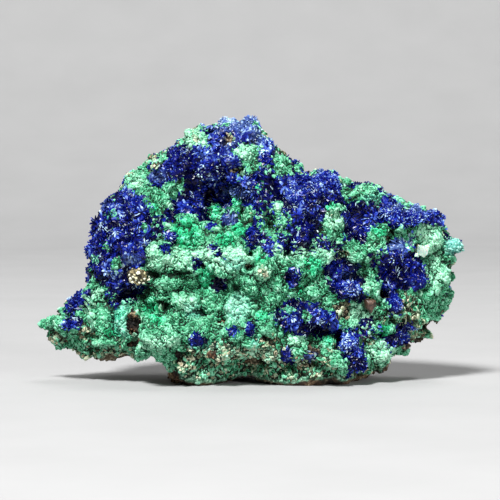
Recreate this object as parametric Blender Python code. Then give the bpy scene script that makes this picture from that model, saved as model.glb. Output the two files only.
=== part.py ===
"""Azurite and malachite specimen: blue and green growths on a brown rock, resting on its broken foot.

The rock's outer form is modelled first. Its front is then shared out between the growths: each growth
becomes a closed crust of its own, and the matrix is the same form sunk below the crusts that cover it.
"""

import math

import bmesh
import bpy
import numpy as np
from mathutils import Vector, bvhtree, noise

MM = 0.001

# The specimen stands on the XY plane and shows its front to -Y.
WIDTH = 93.5 * MM
DEPTH = 42.0 * MM
HEIGHT = 58.0 * MM

# The form is drawn finely, then reduced to the triangles that its shape needs.
FORM_SUBDIVISIONS = 6
FORM_VOXEL = 0.75 * MM
FORM_FACES = 3700
FORM_EASING = 0.4
FORM_EASING_ROUNDS = 2
FOOT_TOLERANCE = 0.06 * MM

# The crusts lie in beds sunk into the form, with a gap all round.
CRUST_THICKNESS = 2.0 * MM
THINNEST_CRUST = 0.9 * MM
CRUST_SHARE_OF_BODY = 0.22
SAFE_SHARE_OF_ROOM = 0.45
BED_GAP = 0.35 * MM
LEAST_LEAN = 0.4
BED_SHARE_BESIDE = 0.35
EDGE_INSET = 0.22 * MM
LEAST_INSET_MEAN = 0.4
EDGE_DROP = 0.5 * MM
EDGE_DROP_SHARE = 0.3
DIRECTION_ROUNDS = 6
THICKNESS_ROUNDS = 3
SMOOTHING_ROUNDS = 4
WHOLE_ROUNDS = 8
BORDER_EASING = 0.35
BORDER_ROUNDS = 2
BARE_FOOT_HEIGHT = 1.4 * MM
THINNEST_COVERED_BODY = 6.0 * MM
RAY_START = 0.05 * MM
# Faces of the form that point this far back stay bare rock, and so do low ones that point this far down.
FACES_BACK = 0.6
FACES_DOWN = -0.8
UNDERCUT_HEIGHT = 5.0 * MM

# The tables below are in millimetres: x to the right and z up from the middle of the foot.
# Silhouette seen from the front, clockwise from the thin left tip, as (x, z).
OUTLINE = [
    (-46.8, 11.9), (-44.9, 14.1), (-43.3, 14.5), (-42.2, 17.2), (-40.0, 17.8), (-37.0, 20.0),
    (-35.2, 21.8), (-35.0, 23.8), (-36.9, 24.2), (-36.2, 26.5), (-34.5, 28.2), (-33.7, 31.0),
    (-33.6, 34.5), (-32.8, 37.2), (-30.6, 39.2), (-28.9, 42.5), (-27.3, 44.2), (-24.6, 46.0),
    (-21.1, 49.5), (-19.1, 50.9), (-15.8, 52.4), (-14.1, 55.0), (-11.2, 57.0), (-6.8, 57.2),
    (-3.1, 57.0), (0.0, 57.8), (2.8, 56.5), (4.4, 52.6), (7.0, 49.9), (9.7, 48.0), (12.3, 45.8),
    (15.0, 46.9), (16.9, 46.8), (19.9, 44.4), (24.2, 44.4), (28.8, 42.9), (31.2, 40.3),
    (35.0, 38.4), (38.3, 38.4), (41.4, 37.8), (44.8, 36.2), (44.6, 32.8), (46.5, 30.6),
    (44.2, 26.6), (44.2, 20.9), (45.0, 19.8), (41.4, 16.4), (41.5, 11.7), (39.2, 9.9),
    (36.1, 6.8), (34.8, 5.7), (31.6, 5.1), (28.2, 1.8), (23.1, 0.8), (13.0, 0.0), (4.8, 0.0),
    (0.0, 2.2), (-3.5, 1.3), (-10.8, 0.0), (-13.0, 0.2), (-18.7, 2.6), (-20.7, 4.2),
    (-24.4, 4.4), (-26.2, 5.5), (-30.6, 4.6), (-35.9, 4.2), (-37.6, 5.5), (-42.2, 7.5),
    (-44.7, 10.6),
]
OUTLINE_CENTRE = (-1.1, 24.6)

# How far the front and the back stand out from the plane of the silhouette.
FRONT_REACH = 16.0
BACK_REACH = 18.5
# Share of that reach left at places along x, from the thin left tip to the blunt right end.
REACH_ALONG_X = [(-47, 0.42), (-34, 0.72), (-20, 1.0), (18, 1.0), (34, 0.82), (46, 0.66)]
CROWN_LEAN = 0.10
RIM_WANDER = 2.2
RIM_WANDER_GRAIN = 17.0
FOOT_CUT = 0.45
RIM_SQUARENESS = 0.72
FOOT_SQUARENESS = 0.38
# Sines of the downward slope where the rounded rim gives way to the square foot.
FOOT_TURN = (0.45, 0.9)
# Grain and height of the lumps of the growths in front and of the coarse break behind.
FRONT_LUMPS = [(7.0, 1.4), (3.8, 1.0)]
BACK_LUMPS = [(12.0, 1.3), (5.0, 0.5)]

FRONT_RELIEF_GAIN = 1.3
# Swells and hollows of the front: x, z, half width, half height, and rise towards the viewer.
FRONT_RELIEF = [
    (-27.0, 29.5, 8.0, 9.5, 4.6),      # shoulder
    (-27.0, 16.4, 9.5, 2.8, -4.2),     # shadowed step under the shoulder
    (-36.0, 12.5, 6.0, 4.0, 1.5),      # left apron
    (-19.5, 10.5, 5.6, 5.6, 4.6),      # round mound
    (-26.5, 9.5, 2.0, 4.0, -2.2),      # groove left of the mound
    (-5.0, 51.0, 9.0, 4.5, 2.2),       # crown
    (-5.8, 40.2, 4.4, 2.8, -6.0),      # dark hollow under the crown
    (-12.0, 39.8, 4.0, 2.4, -2.6),     # pocket beside it
    (3.5, 45.0, 2.4, 9.0, 2.0),        # ridge
    (-1.5, 27.5, 10.0, 4.6, 3.2),      # pale bench
    (-6.5, 20.2, 8.5, 2.0, -3.4),      # groove under the bench
    (-13.0, 15.5, 4.0, 2.0, -1.8),     # groove above the mound
    (0.0, 11.0, 10.0, 6.0, 2.6),       # lower swell
    (0.5, 2.5, 7.0, 2.6, -3.5),        # arch in the foot
    (12.6, 39.5, 6.5, 7.5, 4.2),       # rosette
    (16.5, 30.0, 5.0, 3.0, 1.4),       # knob beside the rosette
    (24.2, 36.0, 3.6, 4.4, -3.6),      # right hollow
    (25.0, 42.0, 5.5, 2.2, 1.4),       # saddle
    (33.0, 36.5, 5.0, 2.6, 1.6),       # right crest
    (33.5, 25.5, 5.0, 4.5, -3.0),      # right pocket
    (37.5, 22.0, 2.2, 2.0, 1.8),       # bleb
    (32.0, 17.5, 2.0, 2.4, 2.0),       # bleb
    (21.5, 24.5, 4.0, 2.2, -2.4),      # undercut at the middle right
    (21.5, 20.6, 4.0, 2.0, 1.6),       # ledge below it
    (14.0, 10.6, 4.2, 2.0, -2.0),      # groove over the right foot
    (20.0, 5.5, 6.0, 4.0, 2.2),        # right foot
    (40.0, 14.0, 4.0, 4.0, -1.5),      # lower right rim
]

# The same for the back, which broke off its vein as rough flat fractures.
BACK_RELIEF = [
    (-20.0, 34.0, 10.0, 9.0, 2.5),
    (8.0, 20.0, 14.0, 9.0, 2.0),
    (26.0, 30.0, 8.0, 8.0, -2.5),
    (-8.0, 14.0, 9.0, 6.0, -2.5),
]
# Fracture planes of the back: outward direction and distance from the middle of the body. The back is
# pressed this share of the way onto them.
FRACTURE_PRESS = 0.85
FRACTURES = [
    ((0.22, 1.0, 0.20), 16.5),
    ((-0.24, 1.0, -0.04), 17.2),
    ((0.06, 0.9, -0.34), 18.4),
    ((0.55, 0.80, 0.25), 23.5),
    ((-0.60, 0.78, 0.05), 24.0),
    ((-0.10, 0.78, 0.62), 24.0),
    ((0.25, 0.80, -0.50), 23.0),
    ((-0.35, 0.80, -0.45), 23.5),
]

# The spots below are placed as an eye sees them that is this far off and a little above the front.
EYE_DISTANCE = 550.0
EYE_SLOPE = 0.05
# Growths, each a union of spots seen from the front: x, z, half width and half height. The last value
# is how far the growth wraps behind the silhouette. Where spots meet, the growth listed first is on top.
GROWTHS = {
    "limonite_knob": ([(-24.8, 22.6, 3.2, 2.6)], 0.0),
    "white_crystal": ([(37.4, 28.4, 2.6, 3.1)], 0.0),
    "brown_crystal": ([(26.4, 16.6, 2.5, 2.7)], 0.0),
    "malachite_crown_left": ([(-12.6, 53.2, 4.0, 3.4)], 6.0),
    "malachite_crown_right": ([(0.2, 49.9, 2.8, 3.4)], 0.0),
    "azurite_ridge": (
        [(3.9, 49.0, 2.0, 7.4), (2.0, 38.6, 2.3, 6.6), (0.2, 31.9, 3.0, 1.7)], 5.0),
    "azurite_left_edge": ([(-38.4, 17.6, 3.4, 2.4)], 3.0),
    "azurite_right_bleb": ([(31.9, 17.4, 2.3, 2.6)], 0.0),
    "azurite_lower_right": ([(32.6, 9.2, 4.2, 2.1)], 3.0),
    "azurite_lower_strip": ([(22.2, 8.8, 2.6, 2.6), (24.2, 4.6, 2.2, 3.4)], 0.0),
    "azurite_lower_centre": ([(9.0, 13.8, 4.8, 3.4), (15.2, 12.6, 4.8, 3.4)], 0.0),
    "azurite_middle_right": ([(21.3, 22.4, 4.0, 4.2)], 0.0),
    "azurite_pocket": ([(-12.2, 39.4, 4.6, 2.9)], 0.0),
    "azurite_hollow": ([(24.2, 35.2, 3.8, 5.0)], 0.0),
    "azurite_crown": (
        [(-7.7, 47.8, 8.2, 5.8), (-3.0, 55.4, 7.6, 2.8), (-15.4, 47.3, 4.4, 3.2),
         (-18.8, 45.6, 2.4, 1.6), (-2.4, 43.6, 5.0, 2.4)], 9.0),
    "azurite_shoulder": (
        [(-28.6, 37.8, 5.8, 5.4), (-30.2, 29.4, 7.4, 8.2), (-26.2, 21.6, 7.8, 3.0),
         (-22.2, 33.4, 3.2, 4.2)], 10.0),
    "azurite_rosette": ([(13.2, 40.7, 7.4, 6.6), (10.6, 33.4, 5.2, 4.8)], 6.0),
    "azurite_right_crest": ([(31.9, 37.6, 4.6, 3.4), (39.8, 36.8, 5.8, 2.6)], 7.0),
    "azurite_right_mass": ([(33.7, 25.0, 5.4, 5.0), (37.4, 22.0, 2.8, 2.4)], 0.0),
    "malachite_slope": ([(8.0, 47.6, 5.4, 5.0), (6.4, 41.0, 2.4, 4.6)], 8.0),
    "malachite_saddle": ([(24.8, 42.0, 7.0, 3.7)], 8.0),
    "malachite_mound": ([(-18.8, 10.6, 5.9, 6.4)], 0.0),
    "malachite_right_foot": ([(27.8, 5.6, 4.6, 4.2), (28.2, 9.6, 3.2, 3.0)], 3.0),
    "malachite_right_edge": (
        [(41.0, 28.0, 5.0, 8.8), (40.0, 17.6, 6.2, 6.6), (36.2, 15.0, 4.4, 3.8)], 5.0),
    "malachite_apron": (
        [(-36.0, 17.0, 6.8, 5.0), (-38.4, 11.6, 7.0, 5.4), (-31.4, 10.4, 4.6, 6.2)], 4.0),
    "malachite_main_crust": (
        [(-20.0, 48.2, 5.4, 4.2), (-24.6, 44.6, 4.6, 3.4), (-18.6, 39.0, 8.4, 8.2),
         (-14.0, 30.0, 11.0, 9.4), (0.0, 27.0, 15.4, 9.4), (-10.0, 20.0, 13.2, 6.4),
         (-5.6, 11.0, 11.2, 9.4), (8.0, 20.0, 11.0, 8.8), (6.0, 9.4, 9.0, 6.2),
         (16.6, 31.0, 5.6, 6.0), (18.0, 17.0, 8.8, 5.6), (25.0, 27.6, 7.0, 6.2),
         (27.6, 31.8, 3.6, 4.8), (26.4, 19.4, 5.2, 5.2), (18.6, 5.8, 6.0, 5.4),
         (26.4, 13.6, 4.4, 2.8), (6.0, 15.0, 6.4, 4.6)], 9.0),
}
SPOT_ROUGHNESS = 0.16
RAGGED_GRAIN = 2.5 * MM

FINISHES = {
    "azurite": ((0.012, 0.018, 0.30, 1.0), 0.28, 0.0),
    "malachite": ((0.09, 0.42, 0.22, 1.0), 0.6, 0.0),
    "matrix": ((0.16, 0.09, 0.045, 1.0), 0.9, 0.0),
    "limonite": ((0.55, 0.40, 0.14, 1.0), 0.8, 0.0),
    "white": ((0.75, 0.85, 0.76, 1.0), 0.4, 0.0),
    "brown": ((0.17, 0.08, 0.04, 1.0), 0.6, 0.0),
}


def clear_scene():
    for old in list(bpy.data.objects):
        bpy.data.objects.remove(old, do_unlink=True)


def smoothstep(low, high, value):
    share = np.clip((value - low) / (high - low), 0.0, 1.0)
    return share * share * (3.0 - 2.0 * share)


def smooth_noise(points, grain, seed):
    """Smooth noise from -1 to 1 at each point, with swells about one grain across."""
    shift = Vector((17.3, -9.1, 5.7)) * seed
    return np.array([noise.noise(Vector(point) / grain + shift) for point in points])


def relief_at(swells, x, z):
    """Height of the sum of round swells at each (x, z)."""
    height = np.zeros_like(x)
    for centre_x, centre_z, half_width, half_height, rise in swells:
        away = ((x - centre_x) / half_width) ** 2 + ((z - centre_z) / half_height) ** 2
        height += rise * np.exp(-away)
    return height


def outline_radius(angles):
    """Distance from the outline's centre to the silhouette, in each direction."""
    offsets = np.array(OUTLINE) - np.array(OUTLINE_CENTRE)
    bearings = np.arctan2(offsets[:, 1], offsets[:, 0])
    order = np.argsort(bearings)
    return np.interp(
        angles, bearings[order], np.hypot(offsets[order, 0], offsets[order, 1]), period=2 * math.pi
    )


def body_points(directions):
    """Maps points of a unit sphere onto the body, in millimetres."""
    angles = np.arctan2(directions[:, 2], directions[:, 0])
    across = np.hypot(directions[:, 0], directions[:, 2])
    downward = smoothstep(*FOOT_TURN, -np.sin(angles))
    squareness = RIM_SQUARENESS + (FOOT_SQUARENESS - RIM_SQUARENESS) * downward
    reach_out = outline_radius(angles) * across ** squareness
    x = OUTLINE_CENTRE[0] + reach_out * np.cos(angles)
    z = OUTLINE_CENTRE[1] + reach_out * np.sin(angles)

    swell = np.abs(directions[:, 1]) ** squareness
    stations = np.array(REACH_ALONG_X, float)
    share = np.interp(x, stations[:, 0], stations[:, 1])
    front = FRONT_REACH * share + FRONT_RELIEF_GAIN * relief_at(FRONT_RELIEF, x, z)
    back = BACK_REACH * share + relief_at(BACK_RELIEF, x, z)
    y = np.where(directions[:, 1] < 0, -front, back) * swell
    return np.column_stack([x, y, z])


def lump_height(points, lumps):
    """Sum of smooth lumps of each grain and height."""
    return sum(height * smooth_noise(points, grain, grain) for grain, height in lumps)


def roughen(points, directions):
    """Adds the lumps of the growths in front and the coarse break behind."""
    swell = np.abs(directions[:, 1]) ** RIM_SQUARENESS
    front = -lump_height(points, FRONT_LUMPS)
    back = lump_height(points, BACK_LUMPS)
    points[:, 1] += np.where(directions[:, 1] < 0, front, back) * swell
    return points


def break_back(points):
    """Presses the back onto the fracture planes."""
    middle = np.array([OUTLINE_CENTRE[0], 0.0, OUTLINE_CENTRE[1]])
    for normal, distance in FRACTURES:
        normal = np.array(normal) / np.linalg.norm(normal)
        beyond = np.maximum((points - middle) @ normal - distance, 0.0)
        points -= FRACTURE_PRESS * beyond[:, None] * normal
    return points


def bend_rim(points):
    """Leans the crown back and lets the rim wander out of its plane."""
    lean = CROWN_LEAN * (points[:, 2] - OUTLINE_CENTRE[1])
    wander = RIM_WANDER * smooth_noise(points, RIM_WANDER_GRAIN, RIM_WANDER_GRAIN)
    points[:, 1] += lean + wander
    return points


def fit_to_size(points):
    """Scales the body to its real box, in metres, centred over the origin, with a flat foot."""
    points[:, 2] = np.maximum(points[:, 2], points[:, 2].min() + FOOT_CUT)
    low, high = points.min(axis=0), points.max(axis=0)
    scale = np.array([WIDTH, DEPTH, HEIGHT]) / (high - low)
    centre = np.array([(low[0] + high[0]) / 2, (low[1] + high[1]) / 2, low[2]])
    return (points - centre) * scale


def make_form():
    """The whole specimen as one closed mesh of even triangles, before the growths are told apart."""
    bm = bmesh.new()
    bmesh.ops.create_icosphere(bm, subdivisions=FORM_SUBDIVISIONS, radius=1.0)
    directions = np.array([vert.co for vert in bm.verts])
    points = roughen(body_points(directions), directions)
    points = fit_to_size(bend_rim(break_back(points)))
    for vert, point in zip(bm.verts, points):
        vert.co = point
    mesh = bpy.data.meshes.new("form")
    bm.to_mesh(mesh)
    bm.free()
    form = bpy.data.objects.new("form", mesh)
    bpy.context.collection.objects.link(form)
    remesh = form.modifiers.new("Remesh", "REMESH")
    remesh.mode = "VOXEL"
    remesh.voxel_size = FORM_VOXEL
    even_faces = 2 * len(evaluated_mesh(form).polygons)
    decimate = form.modifiers.new("Decimate", "DECIMATE")
    decimate.ratio = FORM_FACES / even_faces
    reduced = evaluated_mesh(form)
    bpy.data.objects.remove(form, do_unlink=True)
    return even_out(reduced)


def evaluated_mesh(piece):
    """A copy of the object's mesh with its modifiers applied."""
    bpy.context.view_layer.update()
    graph = bpy.context.evaluated_depsgraph_get()
    return bpy.data.meshes.new_from_object(piece.evaluated_get(graph))


def even_out(mesh):
    """Eases the sharpest folds of the reduced form, then sets its size and puts its foot on the ground."""
    bm = bmesh.new()
    bm.from_mesh(mesh)
    axes = {"use_axis_x": True, "use_axis_y": True, "use_axis_z": True}
    for _ in range(FORM_EASING_ROUNDS):
        bmesh.ops.smooth_vert(bm, verts=bm.verts, factor=FORM_EASING, **axes)
    points = fit_to_size(np.array([vert.co for vert in bm.verts]) / MM)
    for vert, point in zip(bm.verts, points):
        vert.co = point
        if vert.co.z < FOOT_TOLERANCE:
            vert.co.z = 0.0
    bm.normal_update()
    return bm


def spot_distance(growth, x, y, z):
    """Least scaled distance to the growth's spots: under 1 is inside it."""
    spots, wrap = growth
    best = 1e9
    for centre_x, centre_z, half_width, half_height in spots:
        best = min(best, math.hypot((x - centre_x) / half_width, (z - centre_z) / half_height))
    behind = max(0.0, y - wrap)
    return best + behind


def seen_place(x, y, z):
    """Where the eye sees a point of the form, on the plane of the silhouette."""
    nearness = EYE_DISTANCE / (EYE_DISTANCE + y)
    middle = HEIGHT / MM / 2
    return x * nearness, middle + (z - middle) * nearness + y * EYE_SLOPE


def name_face(face, thickness):
    """The growth that covers a face of the form, or the matrix."""
    centre = face.calc_center_median()
    x, y, z = centre / MM
    seen_x, seen_z = seen_place(x, y, z)
    if centre.z < BARE_FOOT_HEIGHT or thickness < THINNEST_COVERED_BODY:
        return "matrix"
    undercut = face.normal.z < FACES_DOWN and centre.z < UNDERCUT_HEIGHT
    if undercut or face.normal.y > FACES_BACK:
        return "matrix"
    ragged = SPOT_ROUGHNESS * noise.noise(centre / RAGGED_GRAIN)
    for name, growth in GROWTHS.items():
        if spot_distance(growth, seen_x, y, seen_z) + ragged < 1.0:
            return name
    return "matrix"


def neighbours(face):
    return [other for edge in face.edges for other in edge.link_faces if other is not face]


def smooth_borders(bm, names):
    """Gives a face that two of its three neighbours enclose to their growth."""
    for _ in range(SMOOTHING_ROUNDS):
        changed = dict(names)
        for face in bm.faces:
            around = [names[other.index] for other in neighbours(face)]
            for name in set(around):
                if around.count(name) >= 2 and name != names[face.index]:
                    changed[face.index] = name
        names = changed
    return names


def patches(faces):
    """Splits faces into groups joined edge to edge, largest first."""
    left = set(faces)
    found = []
    while left:
        group = [left.pop()]
        for face in group:
            for other in neighbours(face):
                if other in left:
                    left.remove(other)
                    group.append(other)
        found.append(group)
    return sorted(found, key=lambda group: (-len(group), min(face.index for face in group)))


def hand_over(group, names):
    """Gives a group of faces to the growth, or the rock, that it borders most."""
    own = names[group[0].index]
    around = [names[other.index] for face in group for other in neighbours(face)]
    around = [name for name in around if name != own] or ["matrix"]
    taker = max(sorted(set(around)), key=around.count)
    for face in group:
        names[face.index] = taker


def keep_whole(bm, names):
    """Leaves each growth one patch that never meets itself at a lone vertex."""
    for _ in range(WHOLE_ROUNDS):
        growths = sorted(set(names.values()) - {"matrix"})
        for growth in growths:
            members = [face for face in bm.faces if names[face.index] == growth]
            for group in patches(members)[1:]:
                hand_over(group, names)
        for vert in bm.verts:
            for growth in sorted({names[face.index] for face in vert.link_faces} - {"matrix"}):
                fans = patches([face for face in vert.link_faces if names[face.index] == growth])
                for fan in fans[1:]:
                    hand_over(fan, names)
    return names


def relax_borders(bm, names):
    """Eases the saw teeth out of the lines where growths meet."""
    for _ in range(BORDER_ROUNDS):
        moves = {}
        for vert in bm.verts:
            along = [
                edge.other_vert(vert).co
                for edge in vert.link_edges
                if len({names[face.index] for face in edge.link_faces}) > 1
            ]
            if len(along) == 2 and vert.co.z > BARE_FOOT_HEIGHT:
                moves[vert.index] = vert.co.lerp((along[0] + along[1]) / 2, BORDER_EASING)
        for index, place in moves.items():
            bm.verts[index].co = place
    bm.normal_update()


def body_thickness(bm):
    """Distance through the body below each vertex."""
    tree = bvhtree.BVHTree.FromBMesh(bm)
    through = {}
    for vert in bm.verts:
        start = vert.co - vert.normal * RAY_START
        hit = tree.ray_cast(start, -vert.normal)
        through[vert.index] = hit[3] if hit[3] else 0.0
    return through


def eased(bm, values, rounds):
    """Averages a value or a direction of each vertex with its neighbours'."""
    for _ in range(rounds):
        blended = {}
        for vert in bm.verts:
            total = values[vert.index]
            for edge in vert.link_edges:
                total = total + values[edge.other_vert(vert).index]
            blended[vert.index] = total / (len(vert.link_edges) + 1)
        values = blended
    return values


def room_below(bm, outward):
    """How far each vertex can sink along its direction before it would cross its neighbours."""
    room = {}
    for vert in bm.verts:
        least = CRUST_THICKNESS
        for edge in vert.link_edges:
            other = edge.other_vert(vert)
            apart = other.co - vert.co
            closing = apart.dot(outward[other.index] - outward[vert.index])
            if closing > 0:
                least = min(least, SAFE_SHARE_OF_ROOM * apart.length_squared / closing)
        room[vert.index] = least
    return room


def border_insets(members, growth, names):
    """How far each border vertex of a growth steps in along the surface, to leave a gap."""
    steps = {}
    for face in members:
        for edge in face.edges:
            if all(names[other.index] == growth for other in edge.link_faces):
                continue
            along = (edge.verts[1].co - edge.verts[0].co).normalized()
            inward = face.normal.cross(along)
            if inward.dot(face.calc_center_median() - edge.verts[0].co) < 0:
                inward = -inward
            for vert in edge.verts:
                steps.setdefault(vert.index, []).append(inward)
    insets = {}
    for index, inwards in steps.items():
        mean = sum(inwards, Vector()) / len(inwards)
        reach = max(mean.length, LEAST_INSET_MEAN)
        insets[index] = mean.normalized() * (EDGE_INSET / reach)
    return insets


def make_growth(growth, bm, names, outward, thickness):
    """One closed crust: its top is the form, its bed is parallel below, and its edge steps in."""
    members = [face for face in bm.faces if names[face.index] == growth]
    insets = border_insets(members, growth, names)
    crust = bmesh.new()
    tops, beds = {}, {}
    for vert in sorted({vert for face in members for vert in face.verts}, key=lambda v: v.index):
        step = insets.get(vert.index, Vector())
        drop = EDGE_DROP if vert.index in insets else 0.0
        drop = min(drop, thickness[vert.index] * EDGE_DROP_SHARE)
        direction = outward[vert.index]
        tops[vert.index] = crust.verts.new(vert.co + step - direction * drop)
        beds[vert.index] = crust.verts.new(vert.co + step - direction * thickness[vert.index])
    for face in members:
        corners = [vert.index for vert in face.verts]
        crust.faces.new([tops[index] for index in corners])
        crust.faces.new([beds[index] for index in reversed(corners)])
        for loop in face.loops:
            if all(names[other.index] == growth for other in loop.edge.link_faces):
                continue
            first, second = loop.vert.index, loop.link_loop_next.vert.index
            crust.faces.new([tops[second], tops[first], beds[first], beds[second]])
    bmesh.ops.triangulate(crust, faces=[face for face in crust.faces if len(face.verts) > 3])
    return finish_object(growth, crust)


def bed_lean(bm, outward):
    """Least cosine between each vertex's direction and the faces around it."""
    return {
        vert.index: max(
            LEAST_LEAN, min(outward[vert.index].dot(face.normal) for face in vert.link_faces)
        )
        for vert in bm.verts
    }


def make_matrix(bm, names, outward, thickness):
    """The host rock: the form itself, sunk below each crust and easing back to it where bare."""
    covered = {
        vert.index for face in bm.faces if names[face.index] != "matrix" for vert in face.verts
    }
    lean = bed_lean(bm, outward)
    rock = bm.copy()
    rock.verts.ensure_lookup_table()
    for vert in bm.verts:
        beside = any(edge.other_vert(vert).index in covered for edge in vert.link_edges)
        share = 1.0 if vert.index in covered else BED_SHARE_BESIDE if beside else 0.0
        if vert.co.z < FOOT_TOLERANCE:
            share = 0.0
        sink = share * (thickness[vert.index] + BED_GAP / lean[vert.index])
        rock.verts[vert.index].co = vert.co - outward[vert.index] * sink
    return finish_object("matrix", rock)


def finish_object(name, bm):
    mesh = bpy.data.meshes.new(name)
    bm.normal_update()
    bm.to_mesh(mesh)
    bm.free()
    piece = bpy.data.objects.new(name, mesh)
    bpy.context.collection.objects.link(piece)
    return piece


def finish_material(name):
    """A plain finish with the mineral's colour, roughness and metallic value."""
    if name in bpy.data.materials:
        return bpy.data.materials[name]
    colour, roughness, metallic = FINISHES[name]
    material = bpy.data.materials.new(name)
    material.use_nodes = True
    shader = material.node_tree.nodes["Principled BSDF"]
    shader.inputs["Base Color"].default_value = colour
    shader.inputs["Roughness"].default_value = roughness
    shader.inputs["Metallic"].default_value = metallic
    return material


def main():
    clear_scene()
    bm = make_form()
    bm.verts.ensure_lookup_table()
    through = body_thickness(bm)
    face_thickness = {
        face.index: min(through[vert.index] for vert in face.verts) for face in bm.faces
    }
    names = {face.index: name_face(face, face_thickness[face.index]) for face in bm.faces}
    names = keep_whole(bm, smooth_borders(bm, names))
    relax_borders(bm, names)
    outward = eased(bm, {vert.index: vert.normal.copy() for vert in bm.verts}, DIRECTION_ROUNDS)
    outward = {index: direction.normalized() for index, direction in outward.items()}
    room = room_below(bm, outward)
    thickness = {
        index: max(THINNEST_CRUST, min(room[index], CRUST_SHARE_OF_BODY * distance))
        for index, distance in through.items()
    }
    thickness = eased(bm, thickness, THICKNESS_ROUNDS)
    rock = make_matrix(bm, names, outward, thickness)
    rock.data.materials.append(finish_material("matrix"))
    for growth in sorted(set(names.values()) - {"matrix"}):
        piece = make_growth(growth, bm, names, outward, thickness)
        piece.data.materials.append(finish_material(growth.split("_")[0]))
    bm.free()


main()
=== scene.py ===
"""Azurite and malachite specimen: its rock, crusts and crystals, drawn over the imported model."""

import math

import bmesh
import bpy
import numpy as np
from mathutils import Euler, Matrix, Vector, bvhtree, kdtree, noise


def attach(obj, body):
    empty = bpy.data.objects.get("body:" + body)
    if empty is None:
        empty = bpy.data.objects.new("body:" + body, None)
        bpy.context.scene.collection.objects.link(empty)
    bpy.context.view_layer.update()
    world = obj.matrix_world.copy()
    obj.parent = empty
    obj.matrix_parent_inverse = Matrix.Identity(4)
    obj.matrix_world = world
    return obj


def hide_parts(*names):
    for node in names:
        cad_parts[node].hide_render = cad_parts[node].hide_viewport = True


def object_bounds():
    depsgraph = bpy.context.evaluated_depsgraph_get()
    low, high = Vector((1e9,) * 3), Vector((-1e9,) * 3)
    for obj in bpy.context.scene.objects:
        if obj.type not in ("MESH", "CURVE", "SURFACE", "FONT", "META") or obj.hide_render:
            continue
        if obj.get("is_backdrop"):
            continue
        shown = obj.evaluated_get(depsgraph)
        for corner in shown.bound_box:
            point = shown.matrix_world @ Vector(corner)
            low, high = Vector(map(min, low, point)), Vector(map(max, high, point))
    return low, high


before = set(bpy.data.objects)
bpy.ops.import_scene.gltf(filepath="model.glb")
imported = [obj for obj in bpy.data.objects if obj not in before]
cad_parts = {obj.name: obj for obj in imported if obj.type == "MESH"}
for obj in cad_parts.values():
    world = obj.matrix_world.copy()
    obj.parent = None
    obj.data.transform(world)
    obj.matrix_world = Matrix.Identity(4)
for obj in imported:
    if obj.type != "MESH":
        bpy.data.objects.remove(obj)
cad_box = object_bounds()

# The skin of the stone.
# Crusts and rock grew into one another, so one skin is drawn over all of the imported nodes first. It
# bridges the hairline gaps between them, and every crust and crystal below is seated on it.
MM = 0.001
SKIN_VOXEL = 0.45 * MM
GAP_BRIDGE = 0.32 * MM
WELD = 0.001 * MM
SKIN_EASING_ROUNDS = 4


def welded_copy(node, swell):
    """The node's mesh with shared corners, swollen along its normals."""
    bm = bmesh.new()
    bm.from_mesh(node.data)
    bmesh.ops.remove_doubles(bm, verts=bm.verts, dist=WELD)
    bm.normal_update()
    for vert in bm.verts:
        vert.co = vert.co + vert.normal * swell
    return bm


def read_mesh(mesh):
    """Corner positions and triangles of a mesh, as arrays."""
    points = np.empty(len(mesh.vertices) * 3, np.float32)
    mesh.vertices.foreach_get("co", points)
    mesh.calc_loop_triangles()
    corners = np.empty(len(mesh.loop_triangles) * 3, np.int32)
    mesh.loop_triangles.foreach_get("vertices", corners)
    return points.reshape(-1, 3).astype(float), corners.reshape(-1, 3)


def after_modifiers(carrier):
    """The carrier's mesh with its modifiers applied, and the carrier itself is removed."""
    bpy.context.view_layer.update()
    shaped = bpy.data.meshes.new_from_object(carrier.evaluated_get(bpy.context.evaluated_depsgraph_get()))
    bpy.data.objects.remove(carrier, do_unlink=True)
    return shaped


def bridged_skin():
    """One closed skin over all of the nodes."""
    whole = bmesh.new()
    for name in sorted(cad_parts):
        bm = welded_copy(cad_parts[name], GAP_BRIDGE)
        part = bpy.data.meshes.new("part")
        bm.to_mesh(part)
        bm.free()
        whole.from_mesh(part)
        bpy.data.meshes.remove(part)
    joined = bpy.data.meshes.new("joined")
    whole.to_mesh(joined)
    whole.free()
    carrier = bpy.data.objects.new("joined", joined)
    bpy.context.collection.objects.link(carrier)
    remesh = carrier.modifiers.new("Remesh", "REMESH")
    remesh.mode = "VOXEL"
    remesh.voxel_size = SKIN_VOXEL
    points, faces = read_mesh(after_modifiers(carrier))
    return largest_part(points, faces)


def largest_part(points, faces):
    """Leaves out the few closed bubbles inside the stone."""
    label = np.arange(len(points))
    while True:
        least = label[faces].min(axis=1)
        merged = label.copy()
        for side in range(3):
            np.minimum.at(merged, faces[:, side], least)
        merged = merged[merged]
        if np.array_equal(merged, label):
            break
        label = merged
    names, counts = np.unique(label, return_counts=True)
    kept = label == names[counts.argmax()]
    renumbered = np.cumsum(kept) - 1
    return points[kept], renumbered[faces[kept[faces[:, 0]]]]


def unit(vectors):
    """The vectors at length 1."""
    return vectors / np.maximum(np.linalg.norm(vectors, axis=-1, keepdims=True), 1e-20)


def corner_normals(points, faces):
    """Unit normals at the corners, each the mean of the faces around it."""
    a, b, c = points[faces].swapaxes(0, 1)
    face_normals = np.cross(b - a, c - a)
    total = np.zeros_like(points)
    for side in range(3):
        np.add.at(total, faces[:, side], face_normals)
    return unit(total)


def sides_of(faces):
    """The three sides of every triangle, each as two corners in its order round the face."""
    return np.concatenate([faces[:, [0, 1]], faces[:, [1, 2]], faces[:, [2, 0]]])


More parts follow.
